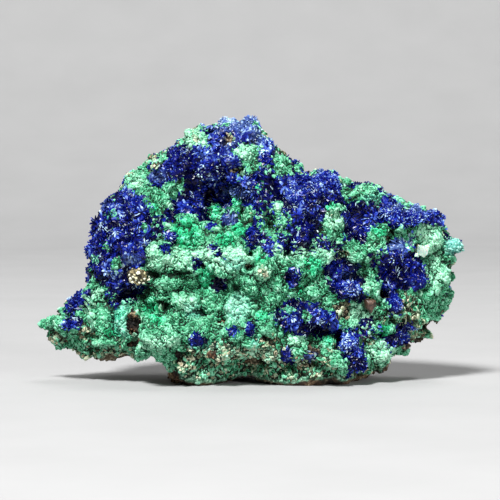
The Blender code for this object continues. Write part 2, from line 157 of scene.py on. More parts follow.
def eased(values, rounds, share=0.5):
    """Moves each corner's value part of the way to the mean of its neighbours', so many times."""
    values = np.array(values, float)
    first, second = skin_pairs.T
    count = np.bincount(skin_pairs.ravel(), minlength=len(values)).astype(float)
    flat = values.reshape(len(values), -1)
    for _ in range(rounds):
        total = np.empty_like(flat)
        for column in range(flat.shape[1]):
            total[:, column] = np.bincount(first, flat[second, column], len(flat))
            total[:, column] += np.bincount(second, flat[first, column], len(flat))
        flat = flat + share * (total / count[:, None] - flat)
    return flat.reshape(values.shape)


skin, skin_faces = bridged_skin()
skin = skin - corner_normals(skin, skin_faces) * GAP_BRIDGE
skin_pairs = np.unique(np.sort(sides_of(skin_faces), axis=1), axis=0)
skin = eased(skin, SKIN_EASING_ROUNDS)
skin_out = corner_normals(skin, skin_faces)

# Which mineral grew where.
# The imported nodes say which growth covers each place. Their borders are made ragged, as crystals of
# both minerals grew into each other, and the small blebs, islands and bare spots of the front are added.

# Swells that shift the borders: how far apart and how strong, in millimetres.
BORDER_WARPS = [(2.6, 0.8), (1.0, 0.5)]
# How far, in millimetres, growths spread thinly over the rock in front and round the single crystals,
# and how high the bare rim at the foot goes.
GROWTH_REACH = 6.0
SINGLE_REACH = 2.0
RIM_HEIGHT = 1.2
# On top, behind this depth, the two minerals grew through each other in patches this wide, with frays
# this wide at their edges.
TOP_PATCHES_BEHIND = -5.0
TOP_PATCH_WIDTH = 5.0
TOP_FRAY_WIDTH = 2.0
# Every list of spots below gives x, z, half width and half height in millimetres, as an eye in front of
# the stone sees them: from this distance, looking down so that a place rises by this much for each
# millimetre that it lies further back, with the middle of its view at this height.
EYE_DISTANCE = 550.0
EYE_SLOPE = 0.05
EYE_MIDDLE = 29.0
SINGLE_CRYSTALS = [(-24.9, 22.6, 2.4, 2.0), (37.6, 28.4, 1.4, 1.6), (26.3, 16.5, 1.5, 1.8)]
SMALL_GROWTHS = {
    "azurite_blebs": [
        (-20.5, 45.2, 2.6, 1.9), (-17.4, 46.8, 2.9, 2.3), (-16.3, 50.3, 2.2, 2.1),
        (-17.3, 36.7, 1.4, 1.3), (-17.6, 31.9, 1.5, 1.3), (-18.7, 28.8, 1.1, 1.1), (-8.6, 34.6, 1.1, 1.6),
        (-4.5, 36.2, 1.6, 1.4), (-8.6, 29.4, 0.9, 0.8), (-7.2, 28.1, 1.0, 1.0), (4.0, 29.9, 1.3, 1.8),
        (-11.6, 8.8, 1.6, 1.5), (-4.0, 10.8, 1.1, 1.1), (0.0, 11.3, 1.3, 1.9), (8.2, 5.2, 1.2, 2.1),
        (13.2, 5.1, 1.3, 1.3), (26.2, 11.1, 1.5, 2.5), (9.6, 22.4, 1.6, 2.2), (17.7, 30.1, 2.8, 1.5),
        (11.1, 30.2, 2.3, 1.9), (19.6, 24.2, 2.2, 1.8), (-39.2, 12.9, 1.8, 1.9), (-30.2, 17.8, 2.1, 2.0),
        (-27.1, 18.1, 2.0, 1.2), (31.4, 8.5, 1.5, 1.0), (33.3, 9.8, 1.6, 1.0), (35.2, 11.1, 1.4, 0.9),
        (6.8, 13.9, 1.3, 1.8), (-11.8, 25.5, 1.0, 1.5), (-7.4, 20.5, 1.2, 1.3), (28.5, 25.9, 1.6, 1.6),
        (34.9, 31.7, 1.4, 1.9),
    ],
    "malachite_islands": [
        (-31.1, 36.4, 1.2, 1.0), (-23.0, 33.9, 0.8, 1.1), (-29.7, 25.3, 0.9, 1.5),
        (-32.6, 29.7, 1.1, 1.1), (-35.1, 26.7, 1.0, 1.0), (-2.1, 44.2, 1.0, 0.9), (12.5, 14.0, 0.9, 1.4),
        (9.2, 15.4, 1.3, 0.9), (6.7, 11.7, 1.2, 1.1), (30.6, 11.1, 1.8, 1.6), (26.4, 8.1, 1.8, 1.5),
        (2.9, 35.4, 1.1, 2.6), (5.2, 38.3, 1.6, 1.3), (7.7, 35.4, 1.5, 1.5), (6.2, 33.2, 2.6, 1.5),
        (2.1, 43.3, 1.0, 1.5), (6.3, 47.7, 1.4, 2.9), (-3.1, 39.6, 1.1, 1.8), (-7.5, 37.8, 1.1, 1.5),
        (-0.9, 37.3, 1.3, 1.6), (18.8, 33.9, 2.4, 3.2), (19.4, 38.4, 2.4, 1.8), (27.0, 40.6, 3.0, 1.6),
        (28.9, 31.4, 2.6, 3.4), (33.8, 32.3, 1.9, 1.5), (-2.3, 50.8, 1.6, 0.9), (0.6, 49.8, 1.4, 3.2),
    ],
    "iron_spots": [
        (-2.6, 45.9, 1.5, 1.6), (-26.1, 10.8, 1.4, 4.4), (31.9, 31.1, 1.0, 2.4), (30.2, 19.1, 0.8, 1.1),
        (20.6, 26.7, 0.8, 0.6), (0.2, 25.0, 1.1, 1.0), (0.1, 28.8, 0.8, 1.1), (-7.0, 13.9, 1.1, 0.7),
        (-16.0, 5.0, 0.9, 0.8), (-8.2, 5.3, 1.0, 1.3), (-35.5, 8.6, 1.4, 1.1), (3.7, 8.9, 1.1, 1.2),
        (14.5, 7.6, 1.3, 1.2), (19.6, 15.7, 0.9, 0.8), (21.8, 14.7, 0.9, 1.1), (35.2, 6.4, 1.8, 1.2),
        (37.9, 8.0, 2.0, 1.4), (40.6, 11.4, 1.8, 1.4), (-4.4, 53.9, 1.3, 1.2), (1.2, 3.0, 2.6, 0.8),
    ],
}
GROWN = ("azurite", "malachite")
SINGLES = ("limonite_knob", "white_crystal", "brown_crystal")
# A zone is the part of the skin under one node, or under the small growths of one kind.
ZONES = sorted(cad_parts) + list(SMALL_GROWTHS)


def noise_at(points, grain, seed):
    """Smooth noise from -1 to 1 at each point, its swells one grain (in mm) across."""
    shift = Vector((17.3, -9.1, 5.7)) * seed
    scale = 1.0 / (grain * MM)
    return np.array([noise.noise(Vector(point) * scale + shift) for point in points])


def seen_place(points):
    """Where the eye sees points of the stone on the plane of its outline, as x and z in mm."""
    x, y, z = points.T / MM
    nearness = EYE_DISTANCE / (EYE_DISTANCE + y)
    return x * nearness, EYE_MIDDLE + (z - EYE_MIDDLE) * nearness + y * EYE_SLOPE


def smoothstep(low, high, value):
    """0 up to low, 1 from high on, and a smooth slope between them."""
    share = np.clip((value - low) / (high - low), 0.0, 1.0)
    return share * share * (3.0 - 2.0 * share)


def away_from(spot, seen):
    """Distance of the seen places from a spot's middle, as a share of its half width and height."""
    x, z, half_width, half_height = spot
    return np.hypot((seen[0] - x) / half_width, (seen[1] - z) / half_height)


def spot_distance(points, spots):
    """Least of the distances from the spots: under 1 is inside one."""
    seen = seen_place(points)
    return np.min([away_from(spot, seen) for spot in spots], axis=0)


def zones_of(*prefixes):
    """Index in ZONES of every zone whose name starts with one of the prefixes."""
    return [index for index, name in enumerate(ZONES) if name.startswith(prefixes)]


def node_tree(names):
    """A search tree over the triangles of some nodes, and the index in ZONES of each one's node."""
    corners, triangles, owners = [], [], []
    for name in names:
        points, faces = read_mesh(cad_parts[name].data)
        triangles.extend((faces + len(corners)).tolist())
        corners.extend(points.tolist())
        owners.extend([ZONES.index(name)] * len(faces))
    return bvhtree.BVHTree.FromPolygons(corners, triangles), owners


def crossed_on_top(points, outward):
    """Whether a point lies on top in a patch where the other mineral of the two grew."""
    on_top = (outward[:, 2] > 0.45) & (outward[:, 1] > -0.3) & (points[:, 1] > TOP_PATCHES_BEHIND * MM)
    patches = noise_at(points, TOP_PATCH_WIDTH, 15) + 0.4 * noise_at(points, TOP_FRAY_WIDTH, 16)
    return on_top & (patches > 0.12)


def zones_at(points, outward):
    """Index in ZONES of the growth, or the rock, at each point of the skin."""
    warp = np.zeros_like(points)
    for step, (grain, size) in enumerate(BORDER_WARPS):
        for axis in range(3):
            warp[:, axis] += size * MM * noise_at(points, grain, 3 * step + axis + 1)
    any_node, owners = node_tree(sorted(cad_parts))
    found = np.array([owners[any_node.find_nearest(Vector(point))[2]] for point in points + warp])
    in_front = smoothstep(0.5, 0.1, outward[:, 1])
    above_rim = points[:, 2] > RIM_HEIGHT * MM * (1.0 + 0.8 * noise_at(points, 2.5, 13))
    reach = GROWTH_REACH * MM * (1.0 + 0.5 * noise_at(points, 3.5, 12)) * in_front * above_rim
    single = np.isin(found, zones_of(*SINGLES))
    outside = spot_distance(points, SINGLE_CRYSTALS) + 0.2 * noise_at(points, 1.0, 14) > 1.0
    reach[single & outside] = SINGLE_REACH * MM
    open_to_growth = (found == ZONES.index("matrix")) & (reach > 0) | single & outside
    growths, owners = node_tree([name for name in sorted(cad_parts) if name.startswith(GROWN)])
    for index in np.flatnonzero(open_to_growth):
        _, _, triangle, distance = growths.find_nearest(Vector(points[index] + warp[index]))
        if distance < reach[index]:
            found[index] = owners[triangle]
    ragged = 0.3 * noise_at(points, 1.1, 11)
    faces_front = (outward[:, 1] < 0.25) & ~(single & ~outside)
    for name, spots in SMALL_GROWTHS.items():
        found[faces_front & (spot_distance(points, spots) + ragged < 1.0)] = ZONES.index(name)
    crossed = crossed_on_top(points, outward)
    of_azurite = np.isin(found, zones_of("azurite"))
    of_malachite = np.isin(found, zones_of("malachite"))
    found[crossed & of_azurite] = ZONES.index("malachite_islands")
    found[crossed & of_malachite] = ZONES.index("azurite_blebs")
    return found


def share_of(*prefixes):
    """1 on the zones whose name starts so, eased to 0 across their borders."""
    return eased(np.isin(zone, zones_of(*prefixes)), 4)


zone = zones_at(skin, skin_out)
malachite_share = share_of("malachite")
azurite_share = share_of("azurite")
rock_share = share_of("matrix", "iron")
single_share = share_of("white_crystal", "brown_crystal")

# Lumps, hollows and breaks of the skin.
# Malachite grew as balls on balls, azurite as heaps of rosettes, and the rock broke roughly. Each is
# raised from the skin by its own share, and the domes and dark holes seen from the front are added.

# Crowded balls of each size: spacing in millimetres, radius as a share of it, and how far the centres
# lie below the skin as a share of the radius.
CLUMPS = (5.5, 0.64, 0.5)
BALLS = (2.9, 0.64, 0.45)
BUBBLES = (1.5, 0.64, 0.4)
ROSETTES = (2.2, 0.62, 0.45)
# How much of their height shows.
CLUMP_RISE = 0.7
BALL_RISE = 0.75
BUBBLE_RISE = 0.7
# Flat breaks of the rock: their spacing in millimetres and their lean.
COARSE_BREAKS = (10.0, 0.36)
FINE_BREAKS = (4.0, 0.26)
# In millimetres: how far thin edges fill out, how high the slow swells of the broad faces go, and how
# far the skin sinks under a single crystal that stands out of it.
EDGE_FILL = 0.9
SLOW_SWELL = 0.5
SOCKET_DEPTH = 0.9
# Lumps are raised where a mineral has at least this share of the skin.
LEAST_SHARE = 0.02
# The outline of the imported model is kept: this share of the lumpy surface, in percent, lies below it.
LUMPS_BELOW_OUTLINE = 80
# Holes of the front: x, z, half width, half height and depth, in millimetres.
HOLES = [
    (-11.5, 25.3, 1.2, 1.6, 1.8), (-7.4, 20.6, 1.5, 1.2, 0.7), (-3.2, 19.8, 2.0, 1.1, 0.9),
    (-24.6, 18.6, 4.8, 1.4, 1.3), (-8.8, 40.6, 1.4, 2.2, 2.1), (-28.2, 8.2, 1.7, 1.3, 0.4),
    (-11.7, 5.9, 1.1, 1.4, 1.4), (22.6, 22.9, 2.6, 1.0, 1.0), (19.8, 9.6, 1.1, 1.5, 1.6),
    (8.1, 21.3, 0.9, 1.1, 1.4), (-6.9, 15.1, 1.0, 1.0, 1.4), (-26.0, 10.8, 1.1, 3.6, 0.5),
    (0.2, 25.0, 1.1, 0.9, 1.0), (0.0, 28.8, 0.8, 1.0, 0.9), (-16.2, 23.4, 4.0, 0.8, 1.0),
    (-21.0, 22.9, 2.2, 1.0, 1.2), (-9.2, 37.3, 1.4, 1.2, 1.4), (-10.8, 15.6, 2.0, 0.7, 1.2),
    (15.8, 9.9, 2.9, 1.0, 1.2), (4.6, 36.0, 1.2, 2.2, 0.9), (8.4, 29.6, 1.0, 2.2, 1.0),
    (15.6, 32.6, 1.0, 2.0, 1.0), (24.8, 36.8, 2.6, 1.0, 0.5), (12.6, 24.6, 1.4, 0.8, 1.0),
    (-19.6, 16.6, 3.0, 0.6, 1.0), (30.6, 14.0, 1.2, 1.2, 1.2),
]
# Domes of the front: x, z, half width, half height and rise, in millimetres.
DOMES = [
    (-20.0, 10.6, 4.8, 4.6, 1.8), (-14.1, 17.3, 3.0, 2.2, 1.4), (-28.4, 13.4, 1.6, 3.3, 1.2),
    (-20.6, 17.9, 2.6, 1.1, 0.9), (18.2, 33.2, 1.8, 2.0, 0.8), (-3.1, 39.6, 1.1, 1.8, 1.3),
    (-7.5, 37.8, 1.1, 1.4, 1.1), (5.2, 38.3, 1.5, 1.3, 1.1), (37.6, 21.8, 2.2, 1.9, 1.2),
    (32.1, 17.3, 1.9, 2.2, 1.3), (21.6, 20.2, 3.6, 1.8, 1.0), (-11.6, 8.8, 1.5, 1.3, 0.9),
    (0.0, 11.3, 1.2, 1.9, 1.0), (8.2, 5.2, 1.2, 2.0, 0.9), (10.0, 12.6, 1.8, 1.9, 1.0),
    (-18.7, 28.8, 1.1, 1.0, 0.8), (16.9, 43.0, 3.6, 2.8, 1.2), (31.6, 36.8, 3.0, 2.4, 1.2),
    (36.8, 36.4, 2.6, 2.0, 1.0), (-24.0, 38.6, 2.2, 3.0, 1.2), (17.6, 8.7, 1.8, 1.3, 1.2),
    (29.6, 6.6, 3.1, 2.6, 1.2), (30.6, 11.1, 1.7, 1.5, 1.0), (10.8, 9.2, 2.2, 1.5, 0.9),
    (-14.0, 33.0, 3.4, 3.0, 1.0), (4.0, 52.0, 2.0, 2.4, 0.8), (-5.3, 28.1, 6.0, 2.4, 1.0),
    (-2.8, 41.4, 3.2, 1.4, 1.0), (3.4, 23.3, 2.0, 1.8, 0.9), (-0.6, 50.8, 2.3, 2.2, 0.8),
    (22.0, 8.2, 1.6, 1.6, 0.9), (44.8, 29.4, 1.6, 1.6, 1.8), (-43.4, 12.4, 3.6, 1.8, 1.3),
    (14.0, 13.2, 3.2, 2.2, 0.9), (-2.9, 15.8, 3.2, 2.6, 1.0),
]


def thinned(points, spacing, seed):
    """Indices of points, taken in random order, that keep the spacing from each other."""
    cells = {}
    kept = []
    around = [(i, j, k) for i in (-1, 0, 1) for j in (-1, 0, 1) for k in (-1, 0, 1)]
    for index in np.random.default_rng(seed).permutation(len(points)).tolist():
        x, y, z = points[index]
        cx, cy, cz = int(x // spacing), int(y // spacing), int(z // spacing)
        others = (other for i, j, k in around for other in cells.get((cx + i, cy + j, cz + k), ()))
        if all((ox - x) ** 2 + (oy - y) ** 2 + (oz - z) ** 2 >= spacing * spacing for ox, oy, oz in others):
            cells.setdefault((cx, cy, cz), []).append((x, y, z))
            kept.append(index)
    return np.array(kept)


def finder_of(points):
    """A tree that finds the nearest of the points."""
    finder = kdtree.KDTree(len(points))
    for index, point in enumerate(points):
        finder.insert(point, index)
    finder.balance()
    return finder


def balls_on(chosen, spacing, swell, sunk, seed):
    """Balls crowded on the chosen corners: their heights in mm, most of them below 0, the ball that
    rises highest at each corner, and the corners that the balls stand on."""
    rng = np.random.default_rng(seed)
    candidates = np.flatnonzero(chosen)
    centres = candidates[thinned(skin[candidates], spacing * MM, seed)]
    radii = spacing * swell * rng.uniform(0.75, 1.2, len(centres))
    finder = finder_of(skin[centres])
    heights = np.zeros(len(skin))
    highest = np.zeros(len(skin), int)
    for corner in candidates:
        best = -math.inf
        for _, ball, distance in finder.find_n(skin[corner], 4):
            inside = radii[ball] ** 2 - (distance / MM) ** 2
            rise = math.sqrt(inside) - sunk * radii[ball] if inside > 0 else -distance / MM
            if rise > best:
                best = rise
                highest[corner] = ball
        heights[corner] = max(best, 0.0)
    heights[candidates] -= np.percentile(heights[candidates], LUMPS_BELOW_OUTLINE)
    return heights, highest, centres


def broken_blocks(spacing, lean, seed):
    """Heights, in mm, of rock broken along flat faces, each leant its own way from the surface."""
    rng = np.random.default_rng(seed)
    candidates = np.flatnonzero(rock_share > LEAST_SHARE)
    centres = skin[candidates[thinned(skin[candidates], spacing * MM, seed)]]
    leans = rng.normal(size=centres.shape) * lean
    rises = rng.normal(size=len(centres)) * 0.05 * spacing
    finder = finder_of(centres)
    heights = np.zeros(len(skin))
    for corner in candidates:
        blocks = [block for _, block, _ in finder.find_n(skin[corner], 3)]
        slopes = (leans[blocks] * (skin[corner] - centres[blocks])).sum(axis=1) / MM
        heights[corner] = (rises[blocks] + slopes).min()
    return eased(heights, 1)


def front_relief():
    """Rise of the domes and depth of the holes, in mm, on the faces that look to the front."""
    seen = seen_place(skin)
    ragged = 0.4 * noise_at(skin, 1.8, 36)
    rise = np.zeros(len(skin))
    for *spot, height in DOMES:
        away = away_from(spot, seen) + 0.5 * ragged
        rise = np.maximum(rise, height * np.sqrt(np.clip(1.0 - away ** 2, 0.0, 1.0)))
    for *spot, depth in HOLES:
        rise -= depth * smoothstep(1.3, 0.4, away_from(spot, seen) + ragged)
    return rise * smoothstep(0.3, -0.1, skin_out[:, 1])


# Thin edges and tips keep their outline, and broad faces take the whole of the coarse lumps.
breadth = smoothstep(0.55, 0.92, np.linalg.norm(eased(skin_out, 60), axis=1))
above_foot = smoothstep(0.2, 3.5, skin[:, 2] / MM)
growing = malachite_share + azurite_share
clumps, _, _ = balls_on(growing > LEAST_SHARE, *CLUMPS, 20)
balls, _, _ = balls_on(malachite_share > LEAST_SHARE, *BALLS, 21)
bubbles, _, _ = balls_on(malachite_share > LEAST_SHARE, *BUBBLES, 22)
rosettes, rosette_of, rosette_corners = balls_on(azurite_share > LEAST_SHARE, *ROSETTES, 23)
torn = broken_blocks(*COARSE_BREAKS, 31) + broken_blocks(*FINE_BREAKS, 32)
torn += 0.25 * noise_at(skin, 1.2, 33)
lift = growing * breadth * (CLUMP_RISE * clumps - 0.2) + EDGE_FILL * (1.0 - breadth) * above_foot
lift += malachite_share * (0.25 + 0.75 * breadth) * (BALL_RISE * balls + BUBBLE_RISE * bubbles)
lift += azurite_share * (0.25 + 0.75 * breadth) * rosettes
lift += rock_share * (0.3 + 0.7 * breadth) * above_foot * torn
lift -= single_share * SOCKET_DEPTH
lift += (1.0 - rock_share) * breadth * SLOW_SWELL * noise_at(skin, 6.0, 34)
lift += eased(front_relief(), 1)
skin_smooth_out = unit(eased(skin_out, 6))
grown = skin + skin_smooth_out * (lift * MM)[:, None]
grown[:, 2] = np.maximum(grown[:, 2], 0.0)
grown[skin[:, 2] < 0.3 * MM, 2] = 0.0
grown_out = corner_normals(grown, skin_faces)
# How far each corner stands above, or lies below, the skin just around it, from -1 to 1.
fine_stand = np.clip((lift - eased(lift, 6)) * 2.2, -1.0, 1.0)
broad_stand = np.clip((lift - eased(lift, 50)) * 0.9, -1.0, 1.0)

# The host rock.
# Brown, iron-stained gossan that the vein filled: bare at the back, along the foot and in the gaps
# between the growths. It is one closed body with crumbs on it, and it lies deeper under each crust.
BED_DEPTH = 0.7
# Share of the rock's triangles kept. Those taken out are hidden under a crust.
HIDDEN_ROCK_KEPT = 0.62
CRUMB_SPACING = 1.05
CRUMB_RADIUS = 0.36
FINE_CRUMB_SPACING = 0.5
FINE_CRUMB_RADIUS = 0.26
# Sites tried for each square of the spacing, before the crowded ones are thinned out.
TRIED_SITES = 2.6
# Bare spots that differ from the common brown, and how much lighter they are.
EARTHS = [
    ((-4.4, 53.9, 2.4, 2.2), 1.1), ((-7.0, 13.9, 1.6, 1.2), 1.2), ((-2.6, 45.9, 2.4, 2.4), -0.1),
    ((-26.1, 10.8, 2.2, 5.0), -0.9),
]


def joined(bodies):
    """One set of corners, triangles, marks and smoothness from several bodies."""
    starts = np.cumsum([0] + [len(points) for points, _, _, _ in bodies])
    points = np.concatenate([points for points, _, _, _ in bodies])
    faces = np.concatenate([faces + start for (_, faces, _, _), start in zip(bodies, starts)])
    marks = {mark: np.concatenate([body[2][mark] for body in bodies]) for mark in bodies[0][2]}
    smooth = np.concatenate([np.full(len(faces), smooth) for _, faces, _, smooth in bodies])
    return points, faces, marks, smooth


def piece_from(name, *bodies):
    """One object from bodies of corners, triangles, a number for each corner under each mark, and
    whether they are shaded smooth."""
    points, faces, marks, smooth = joined(bodies)
    mesh = bpy.data.meshes.new(name)
    mesh.vertices.add(len(points))
    mesh.vertices.foreach_set("co", np.asarray(points, np.float32).ravel())
    mesh.loops.add(faces.size)
    mesh.loops.foreach_set("vertex_index", np.asarray(faces, np.int32).ravel())
    mesh.polygons.add(len(faces))
    mesh.polygons.foreach_set("loop_start", np.arange(0, faces.size, 3, dtype=np.int32))
    mesh.polygons.foreach_set("use_smooth", smooth)
    mesh.update(calc_edges=True)
    for mark, values in marks.items():
        layer = mesh.attributes.new(mark, "FLOAT", "POINT")
        layer.data.foreach_set("value", np.asarray(values, np.float32))
    piece = bpy.data.objects.new(name, mesh)
    bpy.context.collection.objects.link(piece)
    return piece


def linear(hex_colour):
    """An sRGB hex colour as linear red, green, blue and full alpha."""
    channels = [int(hex_colour[i:i + 2], 16) / 255.0 for i in (1, 3, 5)]
    return (*(c / 12.92 if c <= 0.04045 else ((c + 0.055) / 1.055) ** 2.4 for c in channels), 1.0)


def add(tree, kind, links=None, out=0, stops=(), **settings):
    """Adds a node with its settings, its links from other nodes and its colour stops, and gives one of
    its outputs."""
    node = tree.nodes.new("ShaderNode" + kind)
    for name, value in settings.items():
        if name.startswith("in_"):
            key = name[3:].replace("_", " ")
            node.inputs[int(key) if key.isdigit() else key].default_value = value
        else:
            setattr(node, name, value)
    for name, source in (links or {}).items():
        tree.links.new(source, node.inputs[name])
    for step, (place, colour) in enumerate(stops):
        elements = node.color_ramp.elements
        stop = elements[step] if step < 2 else elements.new(place)
        stop.position = place
        stop.color = linear(colour)
    return node.outputs[out]


def empty_finish(name, **settings):
    """A material with its shader's settings, its node tree, and each point's place on the stone."""
    material = bpy.data.materials.new(name)
    material.use_nodes = True
    shader = material.node_tree.nodes["Principled BSDF"]
    for socket, value in settings.items():
        shader.inputs[socket.replace("_", " ")].default_value = value
    return material, material.node_tree, add(material.node_tree, "TexCoord", out="Object")


def coloured(material, colour, relief=None, strength=0.0, depth=0.0):
    """The material with a colour on its shader and, where it has relief, a bump of this depth in mm."""
    tree = material.node_tree
    shader = tree.nodes["Principled BSDF"]
    tree.links.new(colour, shader.inputs["Base Color"])
    if relief is not None:
        bump = add(tree, "Bump", {"Height": relief}, in_Strength=strength, in_Distance=depth * MM)
        tree.links.new(bump, shader.inputs["Normal"])
    return material


def earthy_gossan():
    """Gossan: earthy goethite and limonite, broken and dull, rust to ochre, with a 0.5 mm grit and, near the
    crusts, a thin green film of malachite. Its colour carries painted shade: darker in its hollows, lighter
    on its rises."""
    material, tree, place = empty_finish("earthy_gossan", Roughness=0.9, IOR=1.5)
    stand, film = (add(tree, "Attribute", out="Fac", attribute_name=mark) for mark in ("stand", "film"))
    blotch, grit, patchy = (
        add(tree, "TexNoise", {"Vector": place}, in_Scale=1 / (width * MM), in_Detail=detail,
            in_Roughness=roughness)
        for width, detail, roughness in ((4.0, 6.0, 0.68), (0.5, 3.0, 0.65), (1.6, 4.0, 0.7))
    )
    # The stand mark adds painted shade to the stain blotches: on the rock it is darker in hollows and
    # lighter on rises, on the crumbs it is each crumb's own tone.
    stain_and_shade = add(tree, "Math", {0: stand, 2: blotch}, operation="MULTIPLY_ADD", in_1=0.16)
    places = (0.30, 0.42, 0.52, 0.62, 0.75)
    rusty, earthy = (
        add(tree, "ValToRGB", {"Fac": stain_and_shade}, stops=zip(places, colours))
        for colours in (
            ("#120c08", "#3c2618", "#6c4a30", "#987856", "#c8b48e"),
            ("#14110e", "#3d342b", "#6b5d4c", "#9a8a72", "#c9bda2"),
        )
    )
    patch = add(tree, "TexNoise", {"Vector": place}, in_Scale=1 / (11.0 * MM), in_Detail=3.0,
                in_Roughness=0.6, in_Distortion=0.6)
    which = add(tree, "MapRange", {"Value": patch}, in_From_Min=0.42, in_From_Max=0.58)
    # A Mix node takes its two colours on inputs 6 and 7 and gives the result on output 2.
    tint = add(tree, "Mix", {0: which, 6: rusty, 7: earthy}, out=2, data_type="RGBA")
    speck = add(tree, "ValToRGB", {"Fac": grit}, stops=[
        (0.34, "#2c2622"), (0.50, "#a09a94"), (0.64, "#ffffff")])
    rock = add(tree, "Mix", {6: tint, 7: speck}, out=2, data_type="RGBA", blend_type="MULTIPLY", in_0=0.8)
    spread = add(tree, "Math", {0: film, 1: patchy}, operation="ADD")
    green_here = add(tree, "MapRange", {"Value": spread}, in_From_Min=0.75, in_From_Max=1.05, in_To_Max=0.8)
    green = add(tree, "ValToRGB", {"Fac": grit}, stops=[
        (0.36, "#123a2a"), (0.50, "#4f9474"), (0.66, "#a6dcc0")])
    filmed = add(tree, "Mix", {0: green_here, 6: rock, 7: green}, out=2, data_type="RGBA")
    return coloured(material, filmed, grit, strength=0.6, depth=0.18)


def finish_piece(piece, slot, material, *nodes):
    """Gives a piece its material, and rides it on the stone in place of its nodes."""
    piece.data.materials.append(material)
    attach(piece, "root")
    if nodes:
        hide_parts(*nodes)


def with_hidden_part_thinned(piece, hidden, kept):
    """The piece's mesh with fewer triangles where it is hidden."""
    group = piece.vertex_groups.new(name="hidden")
    group.add(np.flatnonzero(hidden).tolist(), 1.0, "REPLACE")
    decimate = piece.modifiers.new("Decimate", "DECIMATE")
    decimate.ratio = kept
    decimate.vertex_group = "hidden"
    mesh = after_modifiers(piece)
    points, faces = read_mesh(mesh)
    marks = {}
    for mark in ("stand", "film"):
        values = np.empty(len(points), np.float32)
        mesh.attributes[mark].data.foreach_get("value", values)
        marks[mark] = values
    bpy.data.meshes.remove(mesh)
    return points, faces, marks


def scattered(chosen_faces, spacing, seed):
    """Random points on the chosen faces of the grown skin that keep the spacing (mm), and a corner of
    each one's face."""
    rng = np.random.default_rng(seed)
    faces = skin_faces[chosen_faces]
    a, b, c = grown[faces].swapaxes(0, 1)
    area = np.linalg.norm(np.cross(b - a, c - a), axis=1) / 2
    count = int(area.sum() / (spacing * MM) ** 2 * TRIED_SITES)
    picked = rng.choice(len(faces), count, p=area / area.sum())
    u, v = rng.random(count), rng.random(count)
    over = u + v > 1
    u[over], v[over] = 1 - u[over], 1 - v[over]
    points = a[picked] + (b - a)[picked] * u[:, None] + (c - a)[picked] * v[:, None]
    kept = thinned(points, spacing * MM, seed + 1)
    return points[kept], faces[picked[kept], 0]


def across(directions, helper):
    """Three directions at right angles: two that the helper turns about each given one, and that one."""
    first = unit(np.cross(directions, helper))
    return first, np.cross(directions, first), directions


def copies(template, faces, places, frames, sizes, jitter, rng):
    """Copies of a small body at each place, along its frame and to its size, each a little different."""
    shape = template[None] + rng.normal(size=(len(places), *template.shape)) * jitter
    shape = shape * sizes[:, None, :]
    points = places[:, None] + MM * sum(shape[..., axis, None] * frames[axis][:, None] for axis in range(3))
    offsets = (np.arange(len(places)) * len(template))[:, None, None]
    return points.reshape(-1, 3), (faces[None] + offsets).reshape(-1, 3)


def ring(radius, height, count, turn=0.0):
    """Corners of a level ring, turned by a share of the angle between them."""
    angles = (np.arange(count) + turn) * 2 * math.pi / count
    return [(radius * math.cos(angle), radius * math.sin(angle), height) for angle in angles]


def stacked(rings, top):
    """Closed body through rings of the same count, with a flat base and one point on top."""
    count = len(rings[0])
    points = np.array([*sum(rings, []), top])
    faces = [[0, i + 1, i] for i in range(1, count - 1)]
    last = (len(rings) - 1) * count
    for low in range(0, last, count):
        high = low + count
        for i in range(count):
            j = (i + 1) % count
            faces += [[low + i, low + j, high + j], [low + i, high + j, high + i]]
    faces += [[last + i, last + (i + 1) % count, len(points) - 1] for i in range(count)]
    return points, np.array(faces)


def leant(directions, amount, rng):
    """The directions, each leant at random."""
    return unit(directions + rng.normal(size=directions.shape) * amount)


# Each face's zone is the one that two of its corners share, or else its last corner's.
first, second, third = zone[skin_faces].T
face_zone = np.where(first == second, first, third)
covered = smoothstep(0.2, 0.7, 1.0 - np.clip(rock_share, 0.0, 1.0))
film_at = np.clip(eased(growing, 30) * 1.6, 0.0, 0.75) + 0.22 * noise_at(skin, 9.0, 35)
film_at -= 0.8 * eased(zone == ZONES.index("iron_spots"), 2)
rock_points = grown - skin_smooth_out * (BED_DEPTH * MM * covered)[:, None]
rock_points[:, 2] = np.maximum(rock_points[:, 2], 0.0)
# On the rock the stand mark is painted shade, taken from how far each place stands above or lies below the
# skin around it.
rock_marks = {"stand": 0.5 * fine_stand + 0.5 * broad_stand, "film": film_at}
bare_rock = piece_from("bare_rock", (rock_points, skin_faces, rock_marks, True))
thinner = with_hidden_part_thinned(bare_rock, eased(rock_share, 2) < 0.05, HIDDEN_ROCK_KEPT)

rng = np.random.default_rng(61)
CRUMB, CRUMB_FACES = stacked([ring(0.9, -0.6, 5), ring(1.0, 0.25, 5, 0.5)], (0.15, 0.0, 0.95))
rock_faces = np.flatnonzero((face_zone == ZONES.index("matrix")) & (skin[skin_faces[:, 0], 2] > 0.4 * MM))
iron_faces = np.flatnonzero(face_zone == ZONES.index("iron_spots"))
coarse_places, coarse_corner = scattered(rock_faces, CRUMB_SPACING, 62)
fine_places, fine_corner = scattered(iron_faces, FINE_CRUMB_SPACING, 64)
crumb_places = np.concatenate([coarse_places, fine_places])
crumb_corner = np.concatenate([coarse_corner, fine_corner])
crumb_size = np.repeat([CRUMB_RADIUS, FINE_CRUMB_RADIUS], [len(coarse_places), len(fine_places)])[:, None]
crumb_size = crumb_size * np.exp(rng.normal(size=crumb_size.shape) * 0.38)
crumb_size = crumb_size * rng.uniform(0.7, 1.2, (len(crumb_places), 3))
crumb_frames = across(leant(grown_out[crumb_corner], 0.5, rng), rng.normal(size=(len(crumb_places), 3)))
crumb_points, crumb_faces = copies(CRUMB, CRUMB_FACES, crumb_places, crumb_frames, crumb_size, 0.14, rng)
